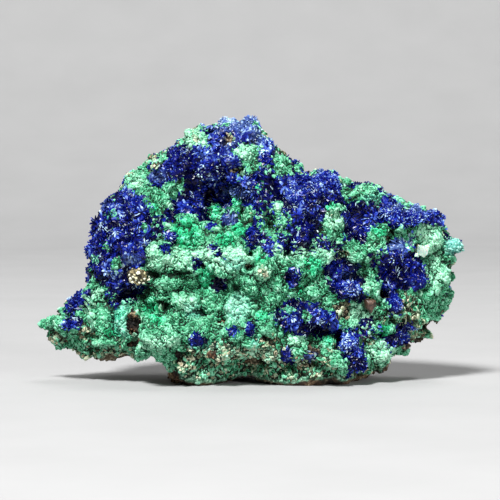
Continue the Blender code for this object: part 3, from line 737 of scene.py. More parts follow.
crumb_points[:, 2] = np.maximum(crumb_points[:, 2], 0.0)
crumb_tone = rng.normal(size=len(crumb_places)) * 0.7 + 0.25
crumb_tone[len(coarse_places):] -= 0.3
for spot, lighter in EARTHS:
    crumb_tone[spot_distance(crumb_places, [spot]) < 1.0] += lighter
crumb_tone = np.repeat(crumb_tone, len(CRUMB))
crumb_marks = {"stand": crumb_tone, "film": np.repeat(film_at[crumb_corner], len(CRUMB))}
host_rock = piece_from("host_rock", (*thinner, True), (crumb_points, crumb_faces, crumb_marks, False))
finish_piece(host_rock, "matrix", earthy_gossan(), "matrix")

# The malachite crusts.
# Malachite in crowded balls of silky needles. The crust is a closed body over its patch of the skin,
# and the tufts of needles on it are small closed bodies, six-sided and nearly flat on top. A needle is
# only hundredths of a millimetre wide, so tufts and colours are as coarse as they need to be to show.
CRUST_DEPTH = 1.3
GRAIN_SPACING = 0.48
GRAIN_RADIUS = 0.4
# How far, in millimetres, single bodies stray over a border, and further where both minerals mix.
BORDER_STRAY = 0.35
MIXED_STRAY = 1.1
# Where both minerals mix, and where the crust is pale, vivid green, bluish or stained by iron. The pale
# spots are partly the crust's own paler mint and partly painted light that lifts shaded places at the foot
# and at the right.
MIXED = [
    (3.5, 40.0, 2.2, 9.0), (8.0, 34.0, 3.0, 3.0), (12.5, 30.0, 4.5, 2.5), (28.5, 26.5, 2.0, 2.0),
    (-29.0, 19.0, 3.0, 2.2), (-20.5, 34.0, 1.8, 3.0), (27.0, 10.0, 2.6, 3.4), (-15.5, 35.8, 3.0, 1.2),
    (19.0, 24.5, 2.4, 2.0), (-31.5, 35.0, 1.6, 3.0), (6.0, 14.0, 2.4, 2.6),
]
PALE_AND_LIT = [
    (-11.9, 53.5, 2.9, 2.6), (-0.6, 50.8, 2.3, 2.0), (-22.0, 27.5, 2.2, 3.3), (-17.4, 26.4, 2.4, 1.8),
    (-5.3, 28.1, 5.7, 2.1), (-6.9, 25.5, 3.0, 1.8), (3.4, 23.3, 1.9, 1.8), (-2.9, 15.8, 2.4, 2.6),
    (5.4, 38.4, 1.4, 1.2), (18.9, 35.4, 2.2, 2.0), (18.7, 26.8, 3.7, 2.2), (37.8, 28.5, 1.3, 1.6),
    (-13.8, 17.1, 2.1, 1.6), (-19.4, 8.1, 4.4, 1.5), (5.6, 5.3, 2.1, 1.3), (29.5, 6.6, 3.1, 2.6),
    (10.8, 9.0, 1.5, 1.3), (-2.8, 39.8, 0.8, 1.5), (-25.3, 44.2, 1.5, 1.5), (-34.5, 19.1, 1.5, 1.5),
    (-6.4, 5.4, 4.4, 1.8), (1.6, 4.8, 3.6, 1.6), (-9.5, 27.0, 9.0, 3.2), (25.5, 14.5, 3.0, 3.0),
    (25.0, 21.0, 2.0, 2.0), (10.4, 29.0, 6.0, 2.2), (-14.0, 28.6, 3.6, 2.6), (41.5, 24.0, 2.4, 4.0),
    (39.8, 31.4, 3.0, 3.6),
]
VIVID = [
    (-13.9, 32.5, 3.3, 3.4), (-9.9, 22.0, 2.0, 2.6), (-2.2, 33.8, 1.8, 1.6), (3.1, 27.3, 1.8, 1.3),
    (2.9, 14.5, 1.5, 1.3), (11.2, 19.4, 1.1, 1.3), (17.6, 8.7, 1.0, 0.8), (-28.4, 14.4, 1.5, 1.6),
    (-22.2, 16.3, 2.0, 1.3), (-20.2, 13.2, 1.8, 1.3), (-20.9, 38.3, 1.1, 1.3), (18.7, 38.9, 1.5, 1.1),
    (-5.5, 31.5, 2.2, 1.5), (28.5, 33.2, 1.4, 1.1), (1.1, 43.6, 1.5, 1.3), (-2.9, 39.5, 1.1, 1.6),
    (-7.5, 37.6, 1.1, 1.3), (14.5, 25.1, 2.2, 2.2), (-30.4, 11.0, 1.8, 1.3), (29.9, 10.4, 1.3, 1.6),
]
TEAL = [
    (-28.4, 13.4, 2.4, 4.2), (-3.3, 25.7, 3.3, 1.5), (-2.9, 15.8, 2.9, 2.6), (-10.3, 7.5, 2.9, 1.3),
    (-35.0, 27.3, 1.5, 1.3), (-31.2, 36.7, 1.8, 1.5), (9.2, 15.4, 1.3, 0.9), (-12.8, 15.8, 1.8, 1.8),
    (1.5, 8.6, 1.1, 1.5), (45.0, 29.6, 1.9, 2.2), (29.3, 39.5, 4.4, 2.6),
]
# The chipped corner at the right edge, bluish where azurite starts.
RIGHT_CHIP = (45.4, 29.4, 2.0, 2.2)
IRON_STAINED = [
    (-12.2, 54.0, 1.0, 1.2), (-21.7, 48.4, 1.4, 2.2), (-6.9, 5.5, 3.0, 2.9), (-0.7, 4.0, 3.3, 2.2),
    (5.5, 5.0, 3.7, 5.0), (13.4, 3.1, 4.2, 3.5), (33.7, 13.0, 1.5, 2.4), (37.4, 9.2, 4.4, 3.5),
    (-44.0, 8.6, 2.6, 1.8), (-34.0, 4.4, 7.6, 1.9), (20.9, 26.8, 1.1, 1.8), (-13.0, 4.0, 3.3, 2.2),
    (3.3, 23.5, 1.5, 1.5), (20.7, 15.4, 2.2, 2.2), (-36.1, 9.5, 2.4, 2.4), (19.2, 7.7, 1.6, 1.1),
    (-7.7, 43.1, 2.2, 0.9), (26.6, 8.8, 1.5, 1.3), (34.5, 15.0, 3.6, 4.0),
]


def crust_over(index):
    """Closed crust over one zone, of the grown skin, a bed below it and a wall round its edge, and the
    corners of the skin that it covers."""
    faces = skin_faces[face_zone == index]
    used, local = np.unique(faces, return_inverse=True)
    local = local.reshape(-1, 3)
    top = grown[used]
    bed = top - skin_smooth_out[used] * CRUST_DEPTH * MM
    bed[:, 2] = np.maximum(bed[:, 2], 0.02 * MM)
    below = len(used)
    sides = sides_of(local)
    keys = sides[:, 0] * below + sides[:, 1]
    back = sides[:, 1] * below + sides[:, 0]
    a, b = sides[~np.isin(keys, back)].T
    walls = np.concatenate([np.column_stack([b, a, a + below]), np.column_stack([b, a + below, b + below])])
    return np.concatenate([top, bed]), np.concatenate([local, local[:, ::-1] + below, walls]), used


def seated(kind, spacing, seed):
    """Sites for the small bodies of a kind of growth: places, their corners and the zone of each. They
    stray over the borders, and further where both minerals grew mixed."""
    rng = np.random.default_rng(seed)
    faces = np.flatnonzero(np.isin(face_zone, zones_of(*GROWN)))
    places, corner = scattered(faces, spacing, seed)
    stray = (BORDER_STRAY + MIXED_STRAY * mixed_at[corner]) * MM
    strayed = places + rng.normal(size=places.shape) * stray[:, None]
    zones = zone[[grown_finder.find(Vector(place))[1] for place in strayed]]
    own = np.isin(zones, zones_of(kind))
    return places[own], corner[own], zones[own]


def silky_malachite():
    """Malachite: silky green needle balls, painted mint as a highlight on the tufts' rims and painted deep
    green as shade in the folds, with a bluish or rusty cast where azurite or iron is near. So many fine
    needles scatter the light that hardly a glint is left, hence the low specular level."""
    material, tree, place = empty_finish("silky_malachite", Roughness=0.6, IOR=1.66, Specular_IOR_Level=0.15)
    fine, broad = (
        add(tree, "TexNoise", {"Vector": place}, in_Scale=1 / (width * MM), in_Detail=detail,
            in_Roughness=0.6)
        for width, detail in ((0.35, 2.0), (2.5, 3.0))
    )
    tip = add(tree, "Attribute", out="Fac", attribute_name="tip")
    shaken = add(tree, "Math", {0: fine, 2: tip}, operation="MULTIPLY_ADD", in_1=0.7)
    height = add(tree, "Math", {0: broad, 2: shaken}, operation="MULTIPLY_ADD", in_1=0.5)
    level = add(tree, "Math", {0: height}, operation="SUBTRACT", in_1=0.6)
    colour = add(tree, "ValToRGB", {"Fac": level}, stops=[
        (0.0, "#001a0c"), (0.2, "#08482c"), (0.42, "#2c885e"), (0.66, "#5ab086"), (1.0, "#86ceac")])
    for mark, colours in (
        ("pale", ("#083824", "#4a9a76", "#88ceaa", "#9ed6b6", "#aee0c2")),
        ("vivid", ("#002c18", "#046c40", "#18aa70", "#3cc892", "#7cdeb8")),
        ("teal", ("#032c2c", "#1c6a66", "#449a90", "#74bcb0", "#a0d8cc")),
        ("rust", ("#100a06", "#44362a", "#807258", "#b0a488", "#d6d0b4")),
    ):
        share = add(tree, "Attribute", out="Fac", attribute_name=mark)
        ramp = add(tree, "ValToRGB", {"Fac": level}, stops=zip((0.0, 0.25, 0.5, 0.75, 1.0), colours))
        colour = add(tree, "Mix", {0: share, 6: colour, 7: ramp}, out=2, data_type="RGBA")
    return coloured(material, colour, fine, strength=0.4, depth=0.12)


def near(spots, soft=0.35):
    """1 well inside any of the spots and 0 outside them or at the back, for each corner of the skin."""
    inside = smoothstep(1.0 + soft, 1.0 - soft, spot_distance(skin, spots))
    return inside * smoothstep(0.4, 0.0, skin_out[:, 1])


def finish_growth(index, ending, slot, material, crust, small):
    """Joins a zone's crust and the small bodies on it in one piece, in place of its node if it has one."""
    piece = piece_from(ZONES[index] + ending, crust, small)
    finish_piece(piece, slot, material, *({ZONES[index]} & set(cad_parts)))


grown_finder = finder_of(grown)
mixed_at = near(MIXED)
# Rust stains the crust in spots, towards the back and along the foot.
stained_back = 0.8 * smoothstep(-0.15, 0.2, skin_out[:, 1])
stained_foot = 0.75 * smoothstep(4.5, 1.5, skin[:, 2] / MM)
malachite_marks = {
    "pale": near(PALE_AND_LIT),
    "vivid": near(VIVID),
    "rust": np.maximum(np.maximum(near(IRON_STAINED), stained_back), stained_foot),
    "teal": np.maximum(0.4 * near(TEAL), 0.9 * near([RIGHT_CHIP])),
}
# Painted shade for both crusts: darker in the hollows between lumps and in the holes of the front, lighter
# on the rises.
hole_at = near([hole[:4] for hole in HOLES])
shade_at = 0.45 * fine_stand + 0.3 * broad_stand - 0.5 * hole_at
# Towards the foot the crust is painted a little paler: painted light that lifts the shade where the stone
# curves under.
painted_foot_light = 0.16 * smoothstep(10.0, 4.0, skin[:, 2] / MM)

malachite_finish = silky_malachite()
rng = np.random.default_rng(42)
grain_places, grain_corner, grain_zone = seated("malachite", GRAIN_SPACING, 41)
count = len(grain_places)
TUFT, TUFT_FACES = stacked([ring(0.85, -0.6, 6), ring(0.95, 0.3, 6, 0.5)], (0.0, 0.0, 0.4))
TUFT = TUFT * (1.2, 0.85, 0.8)
# Each tuft is painted dark at its foot as shade between the tufts, palest round its rim as a painted
# highlight and dark again in the middle of its top as painted shade.
TUFT_LIGHT_AND_SHADE = np.repeat([-0.42, 0.38, -0.4], [6, 6, 1])
grain_out = leant(grown_out[grain_corner], 0.25, rng)
grain_size = GRAIN_RADIUS * np.exp(rng.normal(size=(count, 1)).clip(-2, 2) * 0.26)
grain_size = grain_size * rng.uniform(0.7, 1.3, (count, 3))
grain_tone = rng.normal(size=count) * 0.13
chance = rng.random(count)
grain_marks = {mark: values[grain_corner] for mark, values in malachite_marks.items()}
grain_tone *= 1.0 + 1.2 * grain_marks["rust"]
grain_marks["rust"] = (chance < 0.6 * grain_marks["rust"]) * rng.uniform(0.4, 1.0, count)
# Each tuft also takes the painted shade of the lumps and holes, the painted light towards the foot and the
# paler spots.
grain_lift = (0.55 * shade_at + painted_foot_light + 0.1 * malachite_marks["pale"])[grain_corner]
grain_marks["pale"] = np.maximum(grain_marks["pale"], 0.8 * (rng.random(count) < 0.08))

for index in zones_of("malachite"):
    crust_points, crust_faces, used = crust_over(index)
    here = grain_zone == index
    frames = across(grain_out[here], rng.normal(size=(here.sum(), 3)))
    points, faces = copies(TUFT, TUFT_FACES, grain_places[here], frames, grain_size[here], 0.11, rng)
    small_marks = {mark: np.repeat(values[here], len(TUFT)) for mark, values in grain_marks.items()}
    small_marks["tip"] = np.tile(TUFT_LIGHT_AND_SHADE, here.sum())
    small_marks["tip"] += np.repeat(0.45 + grain_tone[here] + grain_lift[here], len(TUFT))
    crust_marks = {mark: values[used] for mark, values in malachite_marks.items()}
    crust_marks["rust"] = crust_marks["rust"] * 0.5
    # The crust between the tufts is painted dark as shade between them, with the painted shade of the
    # hollows and holes, and a little darker where rust stains it.
    crust_marks["tip"] = 0.12 + 0.8 * shade_at[used] - 0.3 * crust_marks["rust"]
    crust_marks = {mark: np.tile(values, 2) for mark, values in crust_marks.items()}
    crust = crust_points, crust_faces, crust_marks, True
    finish_growth(index, "_crust", "malachite", malachite_finish, crust, (points, faces, small_marks, True))

# The azurite clusters.
# Azurite in glassy blades under a millimetre long that fan out in rosettes. The druse is a closed
# crust over its patch of the skin, and each blade on it is a closed prism that ends in a chisel edge.
# The finest blades would be too thin to show, so all are drawn coarser, about half a millimetre wide.

# How far the blades are apart, half the width of one, and how far it stands out of the crust, in mm.
BLADE_SPACING = 0.34
BLADE_HALF_WIDTH = 0.24
BLADE_HEIGHT = 0.56
# The blades fan out from a root this far (mm) below the middle of their rosette.
ROSETTE_DEPTH = 0.45
# Where the blades are light blue, partly their own paler blue and partly painted sheen on the blebs and
# painted rim light along the top edge, and where they are royal blue.
LIGHT_BLUE_AND_SHEEN = [
    (-4.6, 57.0, 7.6, 1.8), (-7.5, 55.0, 1.3, 1.3), (-2.0, 55.4, 1.1, 1.3), (-4.0, 50.4, 2.2, 2.0),
    (-8.7, 44.0, 1.2, 0.9), (-26.0, 42.0, 2.6, 2.0), (-20.7, 45.1, 2.2, 1.5), (-16.5, 50.8, 1.5, 1.1),
    (-29.7, 37.8, 1.5, 1.8), (-30.1, 32.6, 2.4, 1.3), (-14.3, 39.2, 1.1, 1.1), (-4.5, 36.2, 1.6, 1.4),
    (-17.5, 31.8, 1.4, 1.2), (3.7, 51.3, 1.1, 2.0), (9.2, 42.0, 2.2, 2.4), (16.9, 44.2, 3.3, 2.4),
    (11.2, 38.7, 1.5, 1.8), (20.5, 21.6, 2.4, 0.8), (19.6, 24.2, 2.0, 1.3), (31.6, 36.9, 1.9, 1.4),
    (36.7, 36.7, 2.4, 2.0), (40.5, 37.4, 1.3, 0.9), (43.6, 35.4, 1.8, 1.5), (34.5, 27.3, 1.1, 1.3),
    (21.6, 8.1, 1.8, 1.5), (-12.1, 9.3, 1.1, 1.0), (-26.2, 25.5, 2.4, 1.3), (-29.9, 22.7, 1.3, 2.0),
    (-38.5, 18.5, 2.0, 1.8), (32.6, 17.1, 0.9, 1.4), (34.9, 31.7, 1.5, 2.0), (8.2, 5.6, 0.8, 1.2),
]
ROYAL_BLUE = [
    (-11.2, 48.6, 3.0, 3.0), (-23.8, 38.9, 1.8, 2.4), (-1.1, 54.6, 2.0, 2.0), (12.8, 43.4, 3.4, 3.2),
    (14.4, 35.2, 2.2, 2.6), (22.2, 20.0, 2.0, 1.5), (29.7, 37.8, 1.5, 1.8), (33.2, 35.2, 2.4, 1.3),
    (37.6, 21.8, 2.2, 1.8), (32.1, 17.3, 1.8, 2.1), (10.0, 12.4, 1.6, 1.6), (22.6, 9.5, 1.6, 1.1),
    (34.5, 10.1, 1.5, 1.3), (8.1, 41.6, 1.1, 1.1), (-22.4, 32.8, 1.8, 2.0), (-27.1, 30.1, 2.0, 1.5),
    (9.9, 23.3, 1.1, 1.3), (-0.2, 11.2, 1.1, 1.5), (8.2, 5.2, 1.0, 1.6), (-27.5, 20.9, 1.1, 1.1),
    (-7.2, 49.8, 2.8, 2.2), (2.4, 48.6, 1.8, 3.2), (39.2, 35.6, 1.8, 1.3), (-31.9, 24.2, 1.5, 1.3),
]
# Here the blades are so short and crowded that the bleb looks smooth.
SMOOTH = [
    (37.4, 22.0, 2.4, 2.1), (32.1, 17.4, 2.0, 2.3), (0.0, 11.3, 1.4, 2.0), (-11.6, 8.8, 1.5, 1.4),
    (8.2, 5.2, 1.1, 1.8), (-8.6, 34.6, 1.1, 1.6),
]
# Where they are near black, partly their own inky blue and partly painted shade in the hollows and under the
# overhangs, and where many have a whitish end that is a painted glint.
INKY_AND_SHADED = [
    (-8.8, 40.9, 2.6, 2.2), (33.2, 25.4, 4.6, 3.2), (-9.2, 37.6, 1.3, 1.1), (21.1, 23.3, 3.5, 1.8),
    (14.5, 10.1, 3.5, 1.8), (0.2, 31.7, 2.4, 1.8), (-24.5, 18.0, 4.7, 2.2), (-30.4, 35.0, 1.8, 1.1),
    (-30.4, 27.3, 1.8, 1.3), (-25.6, 33.9, 1.9, 1.3), (2.2, 29.9, 1.3, 1.3), (-13.6, 37.2, 2.6, 0.7),
    (-13.6, 44.7, 2.6, 1.5), (7.9, 37.2, 2.2, 2.4), (14.3, 38.5, 2.4, 1.5), (23.8, 4.6, 1.8, 3.3),
    (23.8, 37.6, 3.1, 1.5), (23.3, 33.0, 2.2, 2.2), (12.8, 29.3, 2.2, 1.5),
]
GLINT_SPOTS = [
    (14.0, 41.5, 0.8, 1.2), (15.1, 39.6, 0.6, 0.4), (11.9, 35.8, 0.9, 0.8), (9.1, 38.2, 1.2, 0.8),
    (-4.7, 38.0, 1.0, 1.0), (-10.0, 38.9, 1.0, 0.7), (-33.0, 27.3, 0.4, 0.9), (-26.4, 35.9, 1.3, 1.1),
    (-31.7, 32.9, 0.9, 0.8), (-22.2, 30.6, 0.7, 1.1), (-23.1, 29.9, 0.7, 0.9), (-27.9, 25.1, 1.1, 0.9),
    (-15.2, 51.3, 1.1, 0.7), (35.2, 31.9, 1.5, 1.9), (38.1, 35.0, 0.7, 0.7), (14.3, 11.3, 0.7, 0.8),
    (16.3, 12.8, 0.9, 0.9), (33.0, 24.4, 0.9, 0.7), (15.6, 30.4, 0.7, 0.9), (-10.1, 45.3, 1.8, 1.3),
    (2.2, 40.4, 0.4, 0.8), (-38.7, 13.9, 0.9, 0.7), (34.1, 27.1, 0.7, 1.1),
]
# Where they are a dull, greyish blue with a cast of lilac: partly their own dull blue, partly painted rim
# light along the top edges and painted sheen.
DUSTY_AND_RIM_LIT = [
    (-21.0, 45.6, 2.4, 1.4), (-4.8, 57.2, 7.4, 1.7), (1.6, 53.0, 1.2, 4.0), (45.2, 29.9, 1.6, 1.7),
    (13.6, 5.2, 1.6, 1.5), (-4.2, 36.6, 1.5, 1.3), (-4.4, 53.0, 2.2, 1.2), (-33.5, 38.8, 2.0, 1.2),
    (-3.0, 41.8, 3.2, 1.0), (22.2, 23.2, 1.8, 0.9), (33.6, 29.8, 1.0, 1.0), (-26.6, 26.8, 2.4, 1.2),
    (36.5, 38.2, 5.0, 0.8), (17.0, 46.6, 4.0, 0.7), (34.6, 32.0, 1.2, 1.4),
]


def glassy_azurite():
    """Azurite: glassy blades of so deep a blue that they are near black, with painted shade in the hollows
    and painted light on rises and blade ends that takes them to royal blue and periwinkle, some with a
    whitish end that is a painted glint, and greyish lilac where painted rim light and sheen lie. Most of its
    glints are lost between the crowded blades, hence the low specular level."""
    material, tree, place = empty_finish("glassy_azurite", Roughness=0.25, IOR=1.76, Specular_IOR_Level=0.1)
    tone, frost, dusty = (
        add(tree, "Attribute", out="Fac", attribute_name=mark) for mark in ("tone", "frost", "dusty")
    )
    cloud = add(tree, "TexNoise", {"Vector": place}, in_Scale=1 / (0.9 * MM), in_Detail=3.0,
                in_Roughness=0.6)
    shaken = add(tree, "Math", {0: cloud, 2: tone}, operation="MULTIPLY_ADD", in_1=0.6)
    level = add(tree, "Math", {0: shaken}, operation="SUBTRACT", in_1=0.3)
    blue = add(tree, "ValToRGB", {"Fac": level}, stops=[
        (0.0, "#000128"), (0.2, "#02064c"), (0.4, "#0a1472"), (0.58, "#1e309a"), (0.76, "#4c6abc"),
        (0.9, "#8aa8d6"), (1.0, "#b8d4ea")])
    dull = add(tree, "ValToRGB", {"Fac": level}, stops=[
        (0.0, "#0a1638"), (0.3, "#34487a"), (0.6, "#607ca8"), (0.85, "#8eaaca"), (1.0, "#b4cade")])
    dulled_and_rim_lit = add(tree, "Mix", {0: dusty, 6: blue, 7: dull}, out=2, data_type="RGBA")
    glinted = add(tree, "Mix", {0: frost, 6: dulled_and_rim_lit}, out=2, data_type="RGBA", in_7=linear("#b0cedc"))
    return coloured(material, glinted)


def blade(thickness):
    """A four-sided blade of half width 1: a prism along its length that ends in a chisel edge."""
    sides = [(1.0, 0.0), (0.0, thickness), (-1.0, 0.0), (0.0, -thickness)]
    points = [(x, y, z) for z in (-0.9, 0.55) for x, y in sides] + [(0.5, 0.0, 1.0), (-0.5, 0.0, 1.0)]
    faces = [[0, 2, 1], [0, 3, 2]]
    for i in range(4):
        j = (i + 1) % 4
        faces += [[i, j, 4 + j], [i, 4 + j, 4 + i]]
    faces += [[4, 5, 8], [5, 9, 8], [5, 6, 9], [6, 7, 9], [7, 8, 9], [7, 4, 8]]
    return np.array(points), np.array(faces)


azurite_finish = glassy_azurite()
rng = np.random.default_rng(52)
smooth_at = near(SMOOTH, 0.2)
# The blades' tone carries painted shade, darker in hollows and holes and lighter on rises, besides their own
# tone at the coloured spots and at random.
tone_and_shade_at = 0.28 * near(LIGHT_BLUE_AND_SHEEN) + 0.16 * near(ROYAL_BLUE) - 0.14 * near(INKY_AND_SHADED) + 0.35 * shade_at
tone_and_shade_at += 0.1 * noise_at(skin, 3.0, 54)
tone_and_shade_at = tone_and_shade_at * (1.0 - smooth_at) + (0.3 + 0.25 * noise_at(skin, 0.9, 53)) * smooth_at
dusty_and_rim_lit_at = 0.6 * near(DUSTY_AND_RIM_LIT, 0.5)
blade_places, blade_corner, blade_zone = seated("azurite", BLADE_SPACING, 51)
count = len(blade_places)
own_rosette = rosette_of[blade_corner]
root_corner = rosette_corners[own_rosette]
root = skin[root_corner] - skin_smooth_out[root_corner] * ROSETTE_DEPTH * MM
fanned = unit(unit(blade_places - root) + 0.15 * grown_out[blade_corner])
blade_out = leant(fanned, 0.14, rng)
rosette_roll = rng.normal(size=(len(rosette_corners), 3))
rosette_tone = rng.normal(size=len(rosette_corners)) * 0.12
rosette_scale = np.exp(rng.normal(size=len(rosette_corners)) * 0.18)
blade_roll = rosette_roll[own_rosette] + rng.normal(size=(count, 3)) * 0.3
BLADE, BLADE_FACES = blade(0.55)
blade_size = np.column_stack([
    size * np.exp(rng.normal(size=count).clip(-2, 2) * spread)
    for size, spread in ((BLADE_HALF_WIDTH, 0.3), (BLADE_HALF_WIDTH, 0.3), (BLADE_HEIGHT, 0.25))
]) * rosette_scale[own_rosette, None]
blade_tone = 0.25 + tone_and_shade_at[blade_corner] + rosette_tone[own_rosette] + rng.normal(size=count) * 0.16
blade_tone[blade_zone == ZONES.index("azurite_blebs")] -= 0.1
blade_tone -= 0.12 * smooth_at[blade_corner]
blade_size[:, 2] *= 1.0 - 0.65 * smooth_at[blade_corner]
# A few blades everywhere have a whitish end, a painted glint, more in patches and at the glint spots, and
# fewer in the holes.
glinting = 0.07 + 0.12 * (noise_at(skin, 2.2, 55) > 0.1) + 0.5 * near(GLINT_SPOTS)
glinting = glinting * (1.0 - smooth_at) * (1.0 - 0.8 * hole_at)
glinted = rng.random(count) < glinting[blade_corner]
blade_glint = glinted * rng.uniform(0.3, 1.0, count)
blade_size[glinted] *= (0.55, 0.55, 0.8)
# On top the blades are worn short.
blade_size[:, 2] *= 1.0 - 0.45 * smoothstep(0.6, 0.95, skin_smooth_out[blade_corner, 2])

blade_marks = {"tone": blade_tone, "frost": blade_glint, "dusty": dusty_and_rim_lit_at[blade_corner]}
for index in zones_of("azurite"):
    crust_points, crust_faces, used = crust_over(index)
    here = blade_zone == index
    frames = across(blade_out[here], blade_roll[here])
    points, faces = copies(BLADE, BLADE_FACES, blade_places[here], frames, blade_size[here], 0.03, rng)
    small_marks = {mark: np.repeat(values[here], len(BLADE)) for mark, values in blade_marks.items()}
    # Each blade is painted darker at its root and lighter towards its end: painted shade between the crowded
    # blades and painted light on their ends.
    small_marks["tone"] += np.tile(0.18 * BLADE[:, 2], here.sum())
    crust_marks = {"tone": tone_and_shade_at[used] - 0.02, "frost": np.zeros(len(used)), "dusty": dusty_and_rim_lit_at[used]}
    crust_marks = {mark: np.tile(values, 2) for mark, values in crust_marks.items()}
    crust = crust_points, crust_faces, crust_marks, True
    finish_growth(index, "_druse", "azurite", azurite_finish, crust, (points, faces, small_marks, False))

# The limonite knob.
# Earthy yellow limonite in the shoulder, a heap of ochre and straw grains with dark ones between,
# left where iron sulphide rusted away. It is a closed lump with closed grains seated on it.
KNOB_GRAIN_SPACING = 0.55
KNOB_GRAIN_RADIUS = 0.36
# Tones of its grains, dark to straw, and how common each is.
KNOB_TONES = {-0.05: 0.2, 0.25: 0.2, 0.5: 0.3, 0.75: 0.3}


def earthy_limonite():
    """Limonite: dull earth from near-black through ochre to straw, each grain its own tone."""
    material, tree, place = empty_finish("earthy_limonite", Roughness=0.85, IOR=1.5)
    tone = add(tree, "Attribute", out="Fac", attribute_name="tone")
    grit = add(tree, "TexNoise", {"Vector": place}, in_Scale=1 / (0.4 * MM), in_Detail=3.0,
               in_Roughness=0.65)
    level = add(tree, "Math", {0: grit, 2: tone}, operation="MULTIPLY_ADD", in_1=0.5)
    tint = add(tree, "ValToRGB", {"Fac": level}, stops=[
        (0.15, "#0c0b08"), (0.35, "#4c4634"), (0.55, "#968a64"), (0.72, "#c6bc90"), (0.9, "#e6e8d2")])
    return coloured(material, tint, grit, strength=0.5, depth=0.1)


rng = np.random.default_rng(71)
knob = ZONES.index("limonite_knob")
crust_points, crust_faces, _ = crust_over(knob)
places, corner = scattered(np.flatnonzero(face_zone == knob), KNOB_GRAIN_SPACING, 72)
count = len(places)
frames = across(leant(grown_out[corner], 0.5, rng), rng.normal(size=(count, 3)))
sizes = KNOB_GRAIN_RADIUS * np.exp(rng.normal(size=(count, 1)) * 0.3)
sizes = sizes * rng.uniform(0.75, 1.2, (count, 3))
points, faces = copies(CRUMB, CRUMB_FACES, places, frames, sizes, 0.12, rng)
grain_tones = rng.choice(list(KNOB_TONES), count, p=list(KNOB_TONES.values()))
limonite_knob = piece_from(
    "limonite_knob_grains",
    (crust_points, crust_faces, {"tone": np.full(len(crust_points), 0.12)}, True),
    (points, faces, {"tone": np.repeat(grain_tones, len(CRUMB))}, False),
)
finish_piece(limonite_knob, "limonite", earthy_limonite(), "limonite_knob")

# The white crystal.
# One milky, greenish-white crystal of cerussite at the right, blocky and glassy, with two smaller
# ones grown through it. Each is a closed body with bevelled edges, rooted in the crust.

# Its place as seen from the front, in millimetres.
WHITE_PLACE = (37.6, 28.5)
# Corners of the block in millimetres: to the right, up, and out of the stone.
WHITE_BLOCK = [
    (-1.2, 1.3, -1.2), (1.2, 0.9, -1.2), (1.1, -0.5, -1.2), (0.3, -1.6, -1.2), (-1.0, -0.9, -1.2),
    (-1.2, 1.3, 0.6), (1.2, 0.9, 0.7), (1.0, -0.5, 0.7), (0.3, -1.5, 0.5), (-1.0, -0.8, 0.5),
]


def block(corners, bevel, turn, size, shift):
    """A closed faceted body round the corners, its edges bevelled, turned and sized about its root."""
    bm = bmesh.new()
    for corner in corners:
        bm.verts.new(corner)
    bmesh.ops.convex_hull(bm, input=bm.verts)
    bmesh.ops.dissolve_limit(bm, angle_limit=0.1, verts=bm.verts, edges=bm.edges)
    bmesh.ops.bevel(bm, geom=bm.edges[:], offset=bevel, segments=2, profile=0.6, affect="EDGES")
    bmesh.ops.triangulate(bm, faces=bm.faces)
    bm.verts.index_update()
    points = np.array([vert.co for vert in bm.verts])
    faces = np.array([[vert.index for vert in face.verts] for face in bm.faces])
    bm.free()
    turned = np.array([Euler(turn).to_matrix() @ Vector(point) for point in points * size])
    return turned + shift, faces


def rooted(seen_at, *bodies):
    """Bodies in mm, set on the stone where the eye sees this place, and facing out from it."""
    seen_x, seen_z = seen_place(grown)
    away = np.hypot(seen_x - seen_at[0], seen_z - seen_at[1])
    away[grown_out[:, 1] > 0.2] = math.inf
    nearest = away.argmin()
    outward = unit(eased(skin_out, 20)[nearest])
    right = unit(np.cross((0.0, 0.0, 1.0), outward))
    axes = np.array([right, np.cross(outward, right), outward])
    return [(grown[nearest] + points @ axes * MM, faces, {}, False) for points, faces in bodies]


def milky_cerussite():
    """Cerussite: glassy to adamantine and milky inside, white with a breath of green."""
    material, tree, place = empty_finish(
        "milky_cerussite", Roughness=0.18, IOR=2.0, Subsurface_Weight=0.5, Subsurface_Scale=0.8 * MM
    )
    milk = add(tree, "TexNoise", {"Vector": place}, in_Scale=1 / (0.8 * MM), in_Detail=4.0,
               in_Roughness=0.6, in_Distortion=0.5)
    tint = add(tree, "ValToRGB", {"Fac": milk}, stops=[
        (0.3, "#94c2ac"), (0.5, "#c0dece"), (0.65, "#e2f2e8")])
    return coloured(material, tint)


white_crystal = piece_from("white_crystal_block", *rooted(
    WHITE_PLACE,
    block(WHITE_BLOCK, 0.12, (0.12, -0.1, 0.0), 0.92, (0.0, 0.1, 0.8)),
    block(WHITE_BLOCK, 0.1, (0.3, 0.5, 1.2), 0.35, (-1.1, -0.9, 0.5)),
    block(WHITE_BLOCK, 0.1, (-0.4, -0.4, 2.2), 0.38, (1.0, 0.9, 0.6)),
))
finish_piece(white_crystal, "white_crystal", milky_cerussite(), "white_crystal")

# The brown crystal.
# A shield-shaped crystal pointing down, goethite after an older mineral, dull to waxy, with a smaller
# one grown into its side. Each is a closed body with worn edges, rooted in the crust.

# Its place as seen from the front, and the corners of the shield, as for the white crystal.
BROWN_PLACE = (26.3, 16.5)
SHIELD = [
    (-1.1, 1.4, -1.0), (1.0, 1.2, -1.0), (1.0, -0.4, -1.0), (0.2, -1.9, -1.0), (-1.0, -0.6, -1.0),
    (-1.05, 1.3, 0.4), (0.95, 1.1, 0.5), (0.9, -0.4, 0.5), (0.2, -1.8, 0.3), (-0.9, -0.6, 0.3),
    (-0.6, 0.6, 0.9), (0.6, 0.7, 1.0), (0.1, -0.9, 0.7),
]


